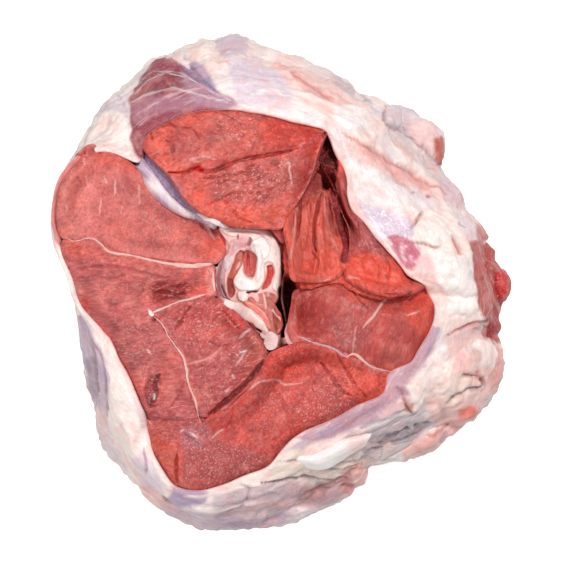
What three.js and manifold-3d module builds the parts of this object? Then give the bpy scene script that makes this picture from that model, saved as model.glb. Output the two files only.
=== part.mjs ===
// A raw beef shank slice with the bone taken out, lying on one cut face with the other cut face up.
// The muscles run through the whole slice, each a closed solid of its own. They meet along seams that
// are drawn on the upper cut face, and they spread outwards as they go down, because the leg widens
// towards the knee. A core of fat and tendon stands in the middle beside the open channel that the
// bone left, a white septum parts two of the muscles, and a jacket of silverskin and fat goes round
// them all. Pads of fat, trimmings and loose flaps of membrane hang on the outside of the jacket.
// Millimetres, +Z up. The origin is on the table under the middle of the slice.
import * as THREE from "three";
import { mergeVertices } from "three/addons/utils/BufferGeometryUtils.js";
import { ImprovedNoise } from "three/addons/math/ImprovedNoise.js";
import Module from "manifold-3d";

const wasm = await Module();
wasm.setup();

// ---- The slice as a whole ----
const CUT_HEIGHT = 52; // the upper cut face above the table
const MIDDLE = { x: -10, y: -1.5 }; // where the angles and radii below are taken from
const STATION_STEP = 15; // degrees between two stations, from +X towards +Y
const RIM_RADIUS = [
  58.5, 48.5, 44.5, 46.5, 54.5, 57.5, 57.5, 61, 62.5, 62.5, 70, 65.5,
  58.5, 53.5, 50.5, 54, 63.5, 70, 62.5, 54.5, 52, 54.5, 57, 61.5,
]; // the edge of the red flesh on the cut face
const SKIN_RADIUS = [
  80, 77, 75, 75, 76, 79, 84, 84.5, 81.5, 78, 74.5, 69,
  61, 60.5, 65.5, 72.5, 78, 84, 83, 77, 75, 79, 85, 82,
]; // the widest line of the jacket, part of the way down
const SKIN_THICKNESS = [
  3, 3, 2.6, 2.4, 2.2, 2, 1.8, 1.6, 1.6, 2.6, 1.6, 1.3,
  1.2, 1.6, 3, 4.2, 4.2, 3.4, 3, 3, 3, 3, 3.5, 3.2,
];
const WIDEST_DEPTH = 0.62; // share of the height at which the slice is widest
const FOOT_SHARE = 0.8; // how much of the spread is left at the table
const SPREAD_POWER = 2.2; // how strongly the spread is kept to the outer parts
const TWIST_DEGREES = 7; // how far the muscles near the core wind round on their way down
const SEAM_GAP = 0.6; // clear space between two neighbouring solids
const POINT_SPACING = 4.2; // between two points of an outline
const JUNCTION_ROUNDING = 0.3;
const RIM_REACH = 5; // a seam that ends this near to the rim belongs to it
const WALL_HEIGHTS = [43, 32, 21, 10.5, 1.4]; // where every solid has a ring, so that neighbours match

// ---- Seams on the cut face, each from one junction to the next ----
const SEAMS = {
  shankTop_septum: [[-48, 46.5], [-42, 40.5], [-36, 34.5], [-31.5, 27.5], [-26, 22.5], [-20, 19.5]],
  septum_shinLeft: [[-52.5, 42], [-47, 37], [-43, 30.5], [-38, 25.5], [-32, 22], [-26, 20], [-21, 17]],
  core_septum: [[-21, 17], [-20, 19.5]],
  shankTop_core: [[-20, 19.5], [-13.5, 17.5], [-7.5, 17.5], [-3, 17], [0.5, 16]],
  shankTop_folds: [[0.5, 16], [2, 21], [5, 25.5], [8, 30.5], [10.5, 35]],
  shankTop_wall: [[10.5, 35], [13, 40.5], [15.5, 46], [17, 50]],
  shinLeft_core: [[-21, 17], [-18, 13.5], [-18.2, 9.5], [-21, 5.5]],
  shinLeft_flank: [[-21, 5.5], [-33.5, 6], [-43, 7.5], [-56, 10.5], [-60.5, 13.5], [-69, 13]],
  flank_core: [[-21, 5.5], [-22, 2], [-22, -2.5], [-20.5, -5.5]],
  flank_wedge: [
    [-20.5, -5.5], [-31.5, -6.5], [-42.5, -10], [-39, -15], [-32, -26], [-30, -36], [-26.5, -45],
  ],
  wedge_core: [[-20.5, -5.5], [-13.5, -12], [-8, -18], [-4.5, -23]],
  wedge_base: [[-4.5, -23], [-6, -27.5], [-13, -37], [-20, -43], [-26.5, -45]],
  flank_base: [[-26.5, -45], [-34, -47.5], [-45.5, -44.5]],
  base_core: [[-4.5, -23], [-1, -22], [3, -20.5]],
  base_heel: [[3, -20.5], [10, -19.5], [19.5, -23], [27, -26], [34.5, -29.5], [40, -32]],
  heel_core: [[3, -20.5], [2, -16], [2, -9.5], [2, -2]],
  folds_core: [[2, -2], [1.5, 3.5], [1.5, 10], [0.5, 16]],
  folds_heel: [[2, -2], [9.5, -1], [19, 0.5]],
  wall_heel: [[19, 0.5], [26, -3], [34.5, -5], [39.5, -4.5], [43, 1]],
  folds_wall: [[10.5, 35], [14.5, 30], [18.5, 22], [21, 13.5], [21.5, 7.5], [19, 0.5]],
};

// Places where two neighbours gape apart at the top and close again further down.
const CREVICES = [
  { name: "bone channel", at: [4, -5.5], reach: 6.5, opening: 4.2, depth: 46 },
  { name: "channel above it", at: [1.5, 6], reach: 7, opening: 2.2, depth: 30 },
  { name: "under the top muscle", at: [14.5, 42], reach: 7, opening: 4.6, depth: 30 },
  { name: "fold corner", at: [15, 31], reach: 3.5, opening: 2.6, depth: 18 },
  { name: "wedge step", at: [-13, -37], reach: 9, opening: 0.9, depth: 8 },
  { name: "flank notch", at: [-40, -46], reach: 7, opening: 1.6, depth: 12 },
];

// ---- The muscles ----
// lift and dome raise the middle of the cut face, slope tilts it, and roll rounds its edge. Each fold
// is a ridge, or a crease where its height is negative, along a line on the cut face. A muscle's edge
// names its seams in order; a minus sign means that the seam is followed backwards.
const MUSCLES = [
  {
    name: "muscle_top", colour: "#d2685f", centre: [-14, 33],
    edge: ["shankTop_septum", "shankTop_core", "shankTop_folds", "shankTop_wall", "rim"],
    lift: 1.2, dome: 3.2, slope: [0, 0], roll: 3,
    folds: [
      { line: [[-31, 36.5], [-19, 38], [-6, 41], [6, 44]], width: 3, height: -2.6 },
      { line: [[-24, 29], [-12, 28], [0, 31]], width: 5, height: 1.2 },
    ],
  },
  {
    name: "muscle_left", colour: "#d9776f", centre: [-50, 25],
    edge: ["septum_shinLeft", "shinLeft_core", "shinLeft_flank", "rim"],
    lift: 0.2, dome: 1, slope: [0.05, 0], roll: 1.6, folds: [],
  },
  {
    name: "muscle_flank", colour: "#c4665f", centre: [-52, -6],
    edge: ["flank_core", "flank_wedge", "flank_base", "rim", "-shinLeft_flank"],
    lift: 0, dome: 1, slope: [0.02, 0.02], roll: 1.2,
    folds: [{ line: [[-41, -33], [-43, -39]], width: 3, height: -2.4 }],
  },
  {
    name: "muscle_wedge", colour: "#c05f5c", centre: [-20, -23],
    edge: ["wedge_core", "wedge_base", "-flank_wedge"],
    lift: 0.6, dome: 1.2, slope: [-0.03, 0], roll: 1.4, folds: [],
  },
  {
    name: "muscle_base", colour: "#cc5f56", centre: [-12, -43],
    edge: ["base_core", "base_heel", "rim", "-flank_base", "-wedge_base"],
    lift: -2.2, dome: 1.4, slope: [0, -0.03], roll: 1.4,
    folds: [{ line: [[-34.5, -60], [-36, -70]], width: 4, height: -1.6 }],
  },
  {
    name: "muscle_heel", colour: "#c65e55", centre: [25, -14],
    edge: ["folds_heel", "wall_heel", "rim", "-base_heel", "heel_core"],
    lift: 0.8, dome: 1.2, slope: [0.02, 0], roll: 1.8, folds: [],
  },
  {
    name: "muscle_folds", colour: "#c4544a", centre: [12, 12],
    edge: ["folds_core", "shankTop_folds", "folds_wall", "-folds_heel"],
    lift: -1.5, dome: 1, slope: [0, -0.12], roll: 2.6,
    folds: [
      { line: [[9.5, 33], [5, 20], [4.5, 8]], width: 2, height: 2 },
      { line: [[11.5, 29], [9.5, 18], [9, 6]], width: 1.8, height: -2.2 },
      { line: [[13, 29], [14, 18], [13, 4]], width: 2, height: 1.6 },
      { line: [[15, 26], [17, 14], [17, 6]], width: 1.6, height: -2 },
    ],
  },
  {
    name: "muscle_wall", colour: "#b84a42", centre: [29, 6],
    edge: ["shankTop_wall", "rim", "-wall_heel", "-folds_wall"],
    lift: -4.5, dome: 1, slope: [0.12, -0.16], roll: 2,
    folds: [{ line: [[24, 7], [33, 4], [40, 0]], width: 5, height: 3.4 }],
  },
  {
    name: "fat_core", colour: "#f3d2ca", centre: [-10, 2],
    edge: [
      "core_septum", "shankTop_core", "-folds_core", "-heel_core", "-base_core", "-wedge_core",
      "-flank_core", "-shinLeft_core",
    ],
    lift: -1, dome: 0.8, slope: [0, 0.02], roll: 2,
    folds: [
      { line: [[-14, 14], [-5, 13], [-2, 4]], width: 3, height: 2 },
      { line: [[-14.5, 4], [-15.5, -4]], width: 2, height: -1.8 },
      { line: [[-10.5, 9], [-10, 3]], width: 1.8, height: -1.8 },
      { line: [[-14, -9], [-6, -16]], width: 2.2, height: 1.4 },
      { line: [[-4, -18], [-3.5, -20]], width: 3, height: 2 },
    ],
  },
];

// ---- What hangs on the outside of the jacket ----
// angle in degrees, depth as a share of the height; the half sizes run round and down the jacket.
const PADS = [
  { name: "fat_pad_right", colour: "#f7e4dc", angle: 5, depth: 0.18, half: [19, 13], thickness: 5,
    around: 18, uneven: 0.16 },
  { name: "trim_muscle_right", colour: "#b5564f", angle: -1, depth: 0.6, half: [16, 7.5],
    thickness: 7, around: 18, uneven: 0.2 },
  { name: "fat_pad_lower_right", colour: "#f0c5bb", angle: -23, depth: 0.38, half: [15, 17],
    thickness: 6, around: 18, uneven: 0.2 },
  { name: "flap_upper_right", colour: "#ecd6d2", angle: 41, depth: 0.6, half: [11.5, 8],
    thickness: 7, around: 16, uneven: 0.22 },
  { name: "membrane_strip_lower", colour: "#d8bcc0", angle: -43, depth: 0.55, half: [15, 8],
    thickness: 4.2, around: 18, uneven: 0.22 },
  { name: "tendon_flap_lower", colour: "#f0dfd8", angle: -63, depth: 0.11, half: [13, 4.4],
    thickness: 3.4, around: 16, uneven: 0.16 },
  { name: "membrane_lobe_bottom", colour: "#b99aa6", angle: -75, depth: 0.56, half: [16.5, 9],
    thickness: 5, around: 18, uneven: 0.2 },
];

// ---- Numbers along an angle, a line or a depth ----
const TURN = 2 * Math.PI;
const lerp = THREE.MathUtils.lerp;
const smoothstep = THREE.MathUtils.smoothstep;
const noise = new ImprovedNoise();

// A smooth value at any angle, from stations that go all the way round.
function stationValue(stations, angle) {
  const steps = THREE.MathUtils.radToDeg(angle) / STATION_STEP;
  const place = THREE.MathUtils.euclideanModulo(steps, stations.length);
  const k = Math.floor(place);
  const t = place - k;
  const [a, b, c, d] = [-1, 0, 1, 2].map((n) => stations[(k + n + stations.length) % stations.length]);
  return b + 0.5 * t * (c - a + t * (2 * a - 5 * b + 4 * c - d + t * (3 * (b - c) + d - a)));
}

const angleOf = (x, y) => Math.atan2(y - MIDDLE.y, x - MIDDLE.x);
const radiusOf = (x, y) => Math.hypot(x - MIDDLE.x, y - MIDDLE.y);
const rimPoint = (angle, outwards = 0) => {
  const radius = stationValue(RIM_RADIUS, angle) + outwards;
  return [MIDDLE.x + radius * Math.cos(angle), MIDDLE.y + radius * Math.sin(angle)];
};

// The cut face isn't level: the knife wandered, and the raw flesh slumps a little to the left.
const cutHeight = (x, y) => CUT_HEIGHT + 1.1 * noise.noise(x / 38, y / 38, 0.4) + 0.012 * x;

// The share of the full spread at a height, from 0 on the cut face to 1 at the widest line.
function spreadShare(z) {
  const depth = THREE.MathUtils.clamp(1 - z / CUT_HEIGHT, 0, 1);
  if (depth < WIDEST_DEPTH) return Math.sin((depth / WIDEST_DEPTH) * (Math.PI / 2));
  return 1 - (1 - FOOT_SHARE) * ((depth - WIDEST_DEPTH) / (1 - WIDEST_DEPTH)) ** 2;
}

function spreadAt(angle) {
  const inside = stationValue(RIM_RADIUS, angle) + stationValue(SKIN_THICKNESS, angle);
  return Math.max(0, stationValue(SKIN_RADIUS, angle) - inside);
}

// Where a point of the cut face has moved to at height z: outwards with the spread, and round with
// the twist, which fades out towards the rim.
function settle(x, y, z) {
  const rim = stationValue(RIM_RADIUS, angleOf(x, y));
  const share = Math.min(1, radiusOf(x, y) / rim);
  const twist = THREE.MathUtils.degToRad(TWIST_DEGREES) * (1 - z / CUT_HEIGHT) * (1 - share ** 2);
  const angle = angleOf(x, y) + Math.max(0, twist);
  const radius = radiusOf(x, y) + spreadAt(angleOf(x, y)) * spreadShare(z) * share ** SPREAD_POWER;
  return [MIDDLE.x + radius * Math.cos(angle), MIDDLE.y + radius * Math.sin(angle), z];
}

const pathThrough = (points) =>
  new THREE.CatmullRomCurve3(points.map(([x, y]) => new THREE.Vector3(x, y, 0)), false, "centripetal");

function distanceToLine(x, y, line) {
  let nearest = Infinity;
  for (let k = 0; k + 1 < line.length; k++) {
    const [ax, ay] = line[k];
    const [bx, by] = line[k + 1];
    const along = ((x - ax) * (bx - ax) + (y - ay) * (by - ay)) / ((bx - ax) ** 2 + (by - ay) ** 2);
    const t = THREE.MathUtils.clamp(along, 0, 1);
    nearest = Math.min(nearest, Math.hypot(x - lerp(ax, bx, t), y - lerp(ay, by, t)));
  }
  return nearest;
}

const foldHeight = (folds, x, y) =>
  folds.reduce((sum, f) => sum + f.height * Math.exp(-((distanceToLine(x, y, f.line) / f.width) ** 2)), 0);

// How far a solid keeps back from its seams at a place and a height.
function keepBack(x, y, z) {
  const opening = CREVICES.reduce((sum, c) => {
    const near = Math.exp(-(((x - c.at[0]) ** 2 + (y - c.at[1]) ** 2) / c.reach ** 2));
    return sum + (c.opening / 2) * near * (1 - smoothstep(CUT_HEIGHT - z, 0, c.depth));
  }, 0);
  return SEAM_GAP / 2 + opening;
}

// ---- Geometry ----
// Moves the vertices of a three.js geometry whose grid has columns x rows cells to place(column, row),
// and returns it closed, with its faces pointing out.
function shaped(geometry, columns, rows, place) {
  const position = geometry.getAttribute("position");
  for (let row = 0; row <= rows; row++)
    for (let column = 0; column <= columns; column++)
      position.setXYZ(row * (columns + 1) + column, ...place(column % columns, row));
  return closed(geometry);
}

function closed(geometry) {
  geometry.deleteAttribute("normal");
  geometry.deleteAttribute("uv");
  const merged = mergeVertices(geometry, 1e-4);
  if (solidOf(merged).volume() < 0) {
    const index = merged.index.array;
    for (let k = 0; k < index.length; k += 3) [index[k + 1], index[k + 2]] = [index[k + 2], index[k + 1]];
  }
  merged.computeVertexNormals();
  return merged;
}

function solidOf(geometry) {
  return new wasm.Manifold(
    new wasm.Mesh({
      numProp: 3,
      vertProperties: new Float32Array(geometry.getAttribute("position").array),
      triVerts: new Uint32Array(geometry.index.array),
    }),
  );
}

function geometryOf(solid) {
  const mesh = solid.getMesh();
  const geometry = new THREE.BufferGeometry();
  geometry.setAttribute("position", new THREE.BufferAttribute(new Float32Array(mesh.vertProperties), 3));
  geometry.setIndex(new THREE.BufferAttribute(new Uint32Array(mesh.triVerts), 1));
  geometry.computeVertexNormals();
  return geometry;
}

const finish = (colour, roughness) =>
  new THREE.MeshStandardMaterial({ color: colour, roughness, metalness: 0 });

// The seams as evenly spaced points. Both neighbours of a seam use the same ones, so their faces match.
// A seam that ends near the rim is taken exactly to it.
const atRim = ([x, y]) => {
  const angle = angleOf(x, y);
  const near = Math.abs(radiusOf(x, y) - stationValue(RIM_RADIUS, angle)) < RIM_REACH;
  return near ? rimPoint(angle) : [x, y];
};
const SEAM_POINTS = Object.fromEntries(
  Object.entries(SEAMS).map(([name, points]) => {
    const path = pathThrough([atRim(points[0]), ...points.slice(1, -1), atRim(points.at(-1))]);
    const steps = Math.max(1, Math.round(path.getLength() / POINT_SPACING));
    return [name, path.getSpacedPoints(steps).map((p) => [p.x, p.y])];
  }),
);

// Points along the rim from one seam's end to another's, the short way round.
function rimStretch(from, to) {
  const start = angleOf(...from);
  let sweep = angleOf(...to) - start;
  if (sweep > Math.PI) sweep -= TURN;
  if (sweep < -Math.PI) sweep += TURN;
  const steps = Math.round((Math.abs(sweep) * radiusOf(...from)) / POINT_SPACING);
  return Array.from({ length: steps + 1 }, (_, k) => rimPoint(start + (sweep * k) / steps));
}

// A closed outline, joined from seams and at most one stretch of rim, with its junctions rounded off.
function outlineOf(edge) {
  const runs = edge.map((name) => {
    if (name === "rim") return null;
    const points = SEAM_POINTS[name.replace("-", "")];
    return name.startsWith("-") ? points.toReversed() : points;
  });
  const rimPlace = runs.indexOf(null);
  if (rimPlace >= 0)
    runs[rimPlace] = rimStretch(runs.at(rimPlace - 1).at(-1), runs[(rimPlace + 1) % runs.length][0]);
  const points = runs.flatMap((run) => run.slice(0, -1));
  const junctions = runs.map((run, k) => runs.slice(0, k).reduce((sum, r) => sum + r.length - 1, 0));
  const side = sideOf(points);
  return points.map(([x, y], k) => {
    const [ax, ay] = points.at(k - 1);
    const [bx, by] = points[(k + 1) % points.length];
    const bulges = side * ((x - ax) * (by - y) - (y - ay) * (bx - x)) > 0;
    if (!junctions.includes(k) || !bulges) return [x, y];
    return [lerp(x, (ax + bx) / 2, JUNCTION_ROUNDING), lerp(y, (ay + by) / 2, JUNCTION_ROUNDING)];
  });
}

// The place itself, or the nearest one that is clear of the jacket.
function withinRim(x, y) {
  const farthest = stationValue(RIM_RADIUS, angleOf(x, y)) - SEAM_GAP / 2;
  const share = Math.min(1, farthest / radiusOf(x, y));
  return [lerp(MIDDLE.x, x, share), lerp(MIDDLE.y, y, share)];
}

// 1 for an outline that runs anticlockwise, and -1 for a clockwise one.
function sideOf(points) {
  const area = points.reduce((sum, [x, y], k) => {
    const [nx, ny] = points[(k + 1) % points.length];
    return sum + x * ny - nx * y;
  }, 0);
  return Math.sign(area);
}

// The outline moved inwards by what each of its points has to keep back at height z.
function inset(points, z) {
  const side = sideOf(points);
  return points.map(([x, y], k) => {
    const [ax, ay] = points.at(k - 1);
    const [bx, by] = points[(k + 1) % points.length];
    const length = Math.hypot(bx - ax, by - ay);
    const back = (side * keepBack(x, y, z)) / length;
    return withinRim(x - (by - ay) * back, y + (bx - ax) * back);
  });
}

// ---- A muscle, or the core: rings from the middle of the cut face out, down and back in ----
const FACE_RINGS = [0, 0.25, 0.48, 0.69, 0.86, 0.96, 1]; // share of the way out to the outline
const FOOT_RINGS = [0.97, 0.55, 0]; // share of the way out, flat on the table
const LOBE_ROWS = FACE_RINGS.length + WALL_HEIGHTS.length + FOOT_RINGS.length - 1;

function lobe(muscle) {
  const { centre, lift, dome, slope, roll, folds } = muscle;
  const outline = outlineOf(muscle.edge);
  const around = outline.length;
  const faceHeight = (x, y, reach) => {
    const rimShare = radiusOf(x, y) / stationValue(RIM_RADIUS, angleOf(x, y));
    const freedom = 1 - Math.min(1, rimShare) ** 6;
    const tilt = slope[0] * (x - centre[0]) + slope[1] * (y - centre[1]);
    const raised = (lift + tilt + foldHeight(folds, x, y)) * freedom + dome * (1 - reach ** 2);
    return cutHeight(x, y) + raised - roll * Math.max(0, reach - 0.76) ** 2 * 17;
  };
  const reached = (point, reach) => [
    lerp(centre[0], point[0], reach),
    lerp(centre[1], point[1], reach),
  ];
  const top = inset(outline, CUT_HEIGHT);
  const walls = WALL_HEIGHTS.map((z) => inset(outline, z));
  return shaped(new THREE.SphereGeometry(1, around, LOBE_ROWS), around, LOBE_ROWS, (column, row) => {
    if (row < FACE_RINGS.length) {
      const [x, y] = reached(top[column], FACE_RINGS[row]);
      return settle(x, y, faceHeight(x, y, FACE_RINGS[row]));
    }
    const wall = row - FACE_RINGS.length;
    if (wall < walls.length) return settle(...walls[wall][column], WALL_HEIGHTS[wall]);
    const under = reached(walls.at(-1)[column], FOOT_RINGS[wall - walls.length]);
    return settle(...under, 0);
  });
}

// ---- The septum: a band between two seams, half as wide at the top as further down ----
const SEPTUM = { along: 16, across: 3, down: 6, topWidth: 0.5, fullAt: 0.45, below: 1.6 };

function septum() {
  const near = pathThrough(SEAMS.septum_shinLeft).getSpacedPoints(SEPTUM.along);
  const far = pathThrough(SEAMS.shankTop_septum).getSpacedPoints(SEPTUM.along);
  const geometry = new THREE.BoxGeometry(1, 1, 1, SEPTUM.along, SEPTUM.across, SEPTUM.down);
  const position = geometry.getAttribute("position");
  for (let k = 0; k < position.count; k++) {
    const along = position.getX(k) + 0.5;
    const across = position.getY(k) + 0.5;
    const share = position.getZ(k) + 0.5;
    const nearPoint = near[Math.round(along * SEPTUM.along)];
    const farPoint = far[Math.round(along * SEPTUM.along)];
    const width = nearPoint.distanceTo(farPoint);
    const height = (cutHeight(nearPoint.x, nearPoint.y) - SEPTUM.below) * share;
    const filled = lerp(SEPTUM.topWidth, 1, 1 - smoothstep(share, SEPTUM.fullAt, 1));
    const from = SEAM_GAP / 2 / width;
    const to = filled - from;
    const crown = share === 1 ? -2.2 * (2 * across - 1) ** 2 : 0;
    const [x, y] = [
      lerp(nearPoint.x, farPoint.x, lerp(from, to, across)),
      lerp(nearPoint.y, farPoint.y, lerp(from, to, across)),
    ];
    const ends = lerp(0.035, 0.965, along) - along;
    const shift = near.at(-1).clone().sub(near[0]).multiplyScalar(ends);
    position.setXYZ(k, ...settle(x + shift.x, y + shift.y, Math.max(0, height + crown)));
  }
  return closed(geometry);
}

// ---- The jacket: one ring whose section goes up the inside, over the lip and down the outside ----
const JACKET_COLUMNS = 76;
const LIP_BELOW = 0.9; // the lip under the edge of the flesh
// side 0 is the inside and 1 the outside; share is of the lip's height
const INSIDE_SHARES = WALL_HEIGHTS.toReversed().map((z) => z / (CUT_HEIGHT - LIP_BELOW));
const OUTSIDE_SHARES = [0.975, 0.87, 0.75, 0.61, 0.46, 0.31, 0.16, 0.04];
const JACKET_SECTION = [
  { side: 0.15, share: 0 },
  ...INSIDE_SHARES.map((share) => ({ side: 0, share })),
  { side: 0.45, share: 1 },
  ...OUTSIDE_SHARES.map((share) => ({ side: 1, share })),
  { side: 0.85, share: 0 },
];

// The jacket's bumps: broad swellings, and long ribs that run round it.
function skinRelief(angle, share) {
  const [cx, cy] = [Math.cos(angle), Math.sin(angle)];
  const swelling = 1.7 * noise.noise(cx * 3.1 + 7.3, cy * 3.1, share * 2.2);
  const ribs = 0.8 * noise.noise(cx * 2.2, cy * 2.2 + 3.7, share * 9 + 1.5);
  return (swelling + ribs) * smoothstep(1 - share, 0.02, 0.22);
}

function jacketPoint(angle, side, share, extra) {
  const [rx, ry] = rimPoint(angle);
  const z = (cutHeight(rx, ry) - LIP_BELOW) * share;
  const thickness = stationValue(SKIN_THICKNESS, angle);
  const radius =
    stationValue(RIM_RADIUS, angle) + spreadAt(angle) * spreadShare(z) + SEAM_GAP / 2 +
    side * (thickness + Math.max(-0.45 * thickness, skinRelief(angle, share))) + (side > 0.5 ? extra : 0);
  return [MIDDLE.x + radius * Math.cos(angle), MIDDLE.y + radius * Math.sin(angle), z];
}

function jacket(extra = 0) {
  const rows = JACKET_SECTION.length;
  const geometry = new THREE.TorusGeometry(1, 0.5, rows, JACKET_COLUMNS);
  return shaped(geometry, JACKET_COLUMNS, rows, (column, row) => {
    const { side, share } = JACKET_SECTION[row % rows];
    return jacketPoint((TURN * column) / JACKET_COLUMNS, side, share, extra);
  });
}

// Keeps a value inside a range, and bends it smoothly near the ends so that no two values meet.
function softClamp(value, low, high) {
  const bend = 0.08;
  if (value > high - bend) return high - bend * Math.exp((high - bend - value) / bend);
  if (value < low + bend) return low + bend * Math.exp((value - low - bend) / bend);
  return value;
}

// ---- Pads: flat uneven drops that lie on the jacket and are cut to it ----
const PAD_ROWS = 9;
const PAD_ROOT = 1.5; // how far a pad is drawn into the jacket before it is cut back

function pad({ angle, depth, half, thickness, around, uneven }, seed, extra = 0) {
  const middle = THREE.MathUtils.degToRad(angle);
  const surface = (a, share) => new THREE.Vector3(...jacketPoint(a, 1, share, 0));
  const radius = radiusOf(...jacketPoint(middle, 1, 1 - depth, 0));
  const wallLength = surface(middle, 0.9).distanceTo(surface(middle, 0.4)) / 0.5;
  const place = (column, row) => {
    const turn = (TURN * column) / around;
    const rise = (Math.PI * row) / PAD_ROWS;
    const raggedness = 1 + uneven * noise.noise(Math.cos(turn) * 2.1, Math.sin(turn) * 2.1, seed) * 2;
    const out = Math.sin(rise) ** 0.7 * raggedness;
    const a = middle + ((half[0] + extra) * Math.cos(turn) * out) / radius;
    const wanted = 1 - depth + ((half[1] + extra) * Math.sin(turn) * out) / wallLength;
    const share = softClamp(wanted, 0.06, 0.97);
    const [lumpX, lumpY] = [Math.cos(turn) * out * 1.7, Math.sin(turn) * out * 1.7];
    const crown = thickness * (1 + 1.4 * uneven * noise.noise(lumpX, lumpY, seed + 5)) + extra;
    const height = Math.cos(rise) > 0 ? crown * Math.cos(rise) ** 0.8 : PAD_ROOT * Math.cos(rise);
    const slopeA = surface(a + 0.02, share).sub(surface(a - 0.02, share));
    const slopeS = surface(a, Math.min(1, share + 0.03)).sub(surface(a, share - 0.03));
    const normal = slopeA.cross(slopeS).normalize();
    const point = surface(a, share).addScaledVector(normal, height);
    return [point.x, point.y, point.z];
  };
  return shaped(new THREE.SphereGeometry(1, around, PAD_ROWS), around, PAD_ROWS, place);
}

// The largest piece of a solid, without the scraps that a cut can leave.
const mainPiece = (solid) => solid.decompose().sort((a, b) => b.volume() - a.volume())[0];

// ---- The whole slice ----
const slice = new THREE.Group();
const addPiece = (name, geometry, colour, roughness) => {
  const mesh = new THREE.Mesh(geometry, finish(colour, roughness));
  mesh.name = name;
  slice.add(mesh);
};

for (const muscle of MUSCLES) addPiece(muscle.name, lobe(muscle), muscle.colour, 0.45);
addPiece("septum", septum(), "#e6d2d8", 0.4);
addPiece("jacket", jacket(), "#ead3cf", 0.42);

let taken = solidOf(jacket(SEAM_GAP * 0.7));
PADS.forEach((spec, k) => {
  const piece = mainPiece(solidOf(pad(spec, k)).subtract(taken));
  addPiece(spec.name, geometryOf(piece), spec.colour, 0.4);
  taken = taken.add(solidOf(pad(spec, k, SEAM_GAP * 0.7)));
});

// The origin goes under the middle of the slice, on the table.
const bounds = new THREE.Box3().setFromObject(slice);
const middle = bounds.getCenter(new THREE.Vector3());
slice.position.set(-middle.x, -middle.y, -bounds.min.z);

export default slice;
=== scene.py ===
from collections import namedtuple
import itertools
import math

import bmesh
import bpy
import numpy as np
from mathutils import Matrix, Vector
from mathutils.bvhtree import BVHTree
from mathutils.kdtree import KDTree


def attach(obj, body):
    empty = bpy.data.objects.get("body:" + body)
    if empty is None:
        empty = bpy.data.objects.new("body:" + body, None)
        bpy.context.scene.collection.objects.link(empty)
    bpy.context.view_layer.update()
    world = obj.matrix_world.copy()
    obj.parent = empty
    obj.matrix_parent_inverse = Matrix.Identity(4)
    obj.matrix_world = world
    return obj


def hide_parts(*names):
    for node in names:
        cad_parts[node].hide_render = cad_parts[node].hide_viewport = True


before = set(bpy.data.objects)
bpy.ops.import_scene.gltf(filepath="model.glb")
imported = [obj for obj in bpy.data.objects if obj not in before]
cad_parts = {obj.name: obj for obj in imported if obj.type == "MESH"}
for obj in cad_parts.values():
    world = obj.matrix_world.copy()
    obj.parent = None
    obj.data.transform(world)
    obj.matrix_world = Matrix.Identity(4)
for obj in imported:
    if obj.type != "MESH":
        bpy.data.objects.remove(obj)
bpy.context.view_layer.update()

# ----------
# Measures. Shapes are worked out in millimetres, in the frame of the slice, and meshes hold metres.
# Lines, spots and widths that are drawn on the slice are pixels of the photograph.
# ----------
MM = 0.001
SAME_PLACE = 1e-6  # points that are closer than this, in metres, are one point
PIXEL = 0.33  # millimetres of the cut face to a pixel
PHOTO_SIZE = 563
PHOTO_MIDDLE = (281.0, 281.0)  # the pixel over the zero of the drawing that the seams come from
FACE_SHIFT = (-0.17, 1.51)  # from that zero to the middle of the slice
FACE_HEIGHT = 52.0
CAMERA_HEIGHT = 1000.0  # above the cut face
HUB = np.array([-10.17, 0.01])  # the place that angles round the slice are taken from
HALF_PLAN = 60.0  # about half the width of the cut face
TOP_FROM = 36.0  # flesh above this height and facing up counts as cut face
SIDES_FROM = 30.0  # the sides of a muscle above this height move with its cut face
RIM_HEIGHT = 47.0  # where the flesh meets the skin
WIDEST_HEIGHT = 22.0  # where the skin is widest

# Colours as they are seen, in the 0 to 255 of a picture.
SRGB = {
    "flesh_top": (212, 106, 98), "flesh_left": (217, 120, 115), "flesh_flank": (202, 108, 105),
    "flesh_wedge": (192, 96, 95), "flesh_base": (204, 93, 88), "flesh_heel": (194, 90, 84),
    "flesh_folds": (216, 107, 95), "flesh_wall": (192, 94, 90),
    "orange": (234, 108, 92), "flame": (236, 96, 78), "salmon": (236, 148, 138), "red": (204, 68, 58),
    "deep_red": (146, 50, 44), "dark": (80, 20, 18), "blood": (212, 30, 30), "plum": (146, 78, 82),
    "dusky": (170, 92, 92), "brown": (164, 88, 78), "rust": (196, 104, 88), "trim": (190, 106, 102),
    "white": (252, 243, 240), "cream": (252, 234, 227), "pink": (246, 202, 195), "rose": (238, 168, 160),
    "pearl": (224, 208, 213), "lavender": (222, 202, 218), "violet": (188, 164, 188),
    "iris": (160, 138, 176), "purple": (160, 86, 98), "mauve": (202, 114, 132), "heather": (188, 144, 160),
    "grey": (190, 176, 182), "slate": (142, 124, 136), "sand": (240, 222, 208), "shadow": (60, 32, 42),
}
SHEEN = 0.035  # what reflected light adds to a colour, which the painted colour leaves out
DARKEST = 0.004


def linear(name):
    """A named colour as the linear numbers that shaders use."""
    light = [(v / 255 / 12.92) if v <= 10 else ((v / 255 + 0.055) / 1.055) ** 2.4 for v in SRGB[name]]
    return [max(DARKEST, v - SHEEN) for v in light]


def shade(name):
    """A named colour as a shader's socket takes it."""
    return (*linear(name), 1.0)


def place(points, height=FACE_HEIGHT):
    """Pixels of the photograph as millimetres at a height, seen from the camera."""
    pixels = np.atleast_2d(np.array(points, float))
    reach = (CAMERA_HEIGHT + FACE_HEIGHT - height) / CAMERA_HEIGHT
    x = (pixels[:, 0] - PHOTO_MIDDLE[0]) * PIXEL * reach + FACE_SHIFT[0]
    y = (PHOTO_MIDDLE[1] - pixels[:, 1]) * PIXEL * reach + FACE_SHIFT[1]
    return np.column_stack([x, y])


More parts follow.
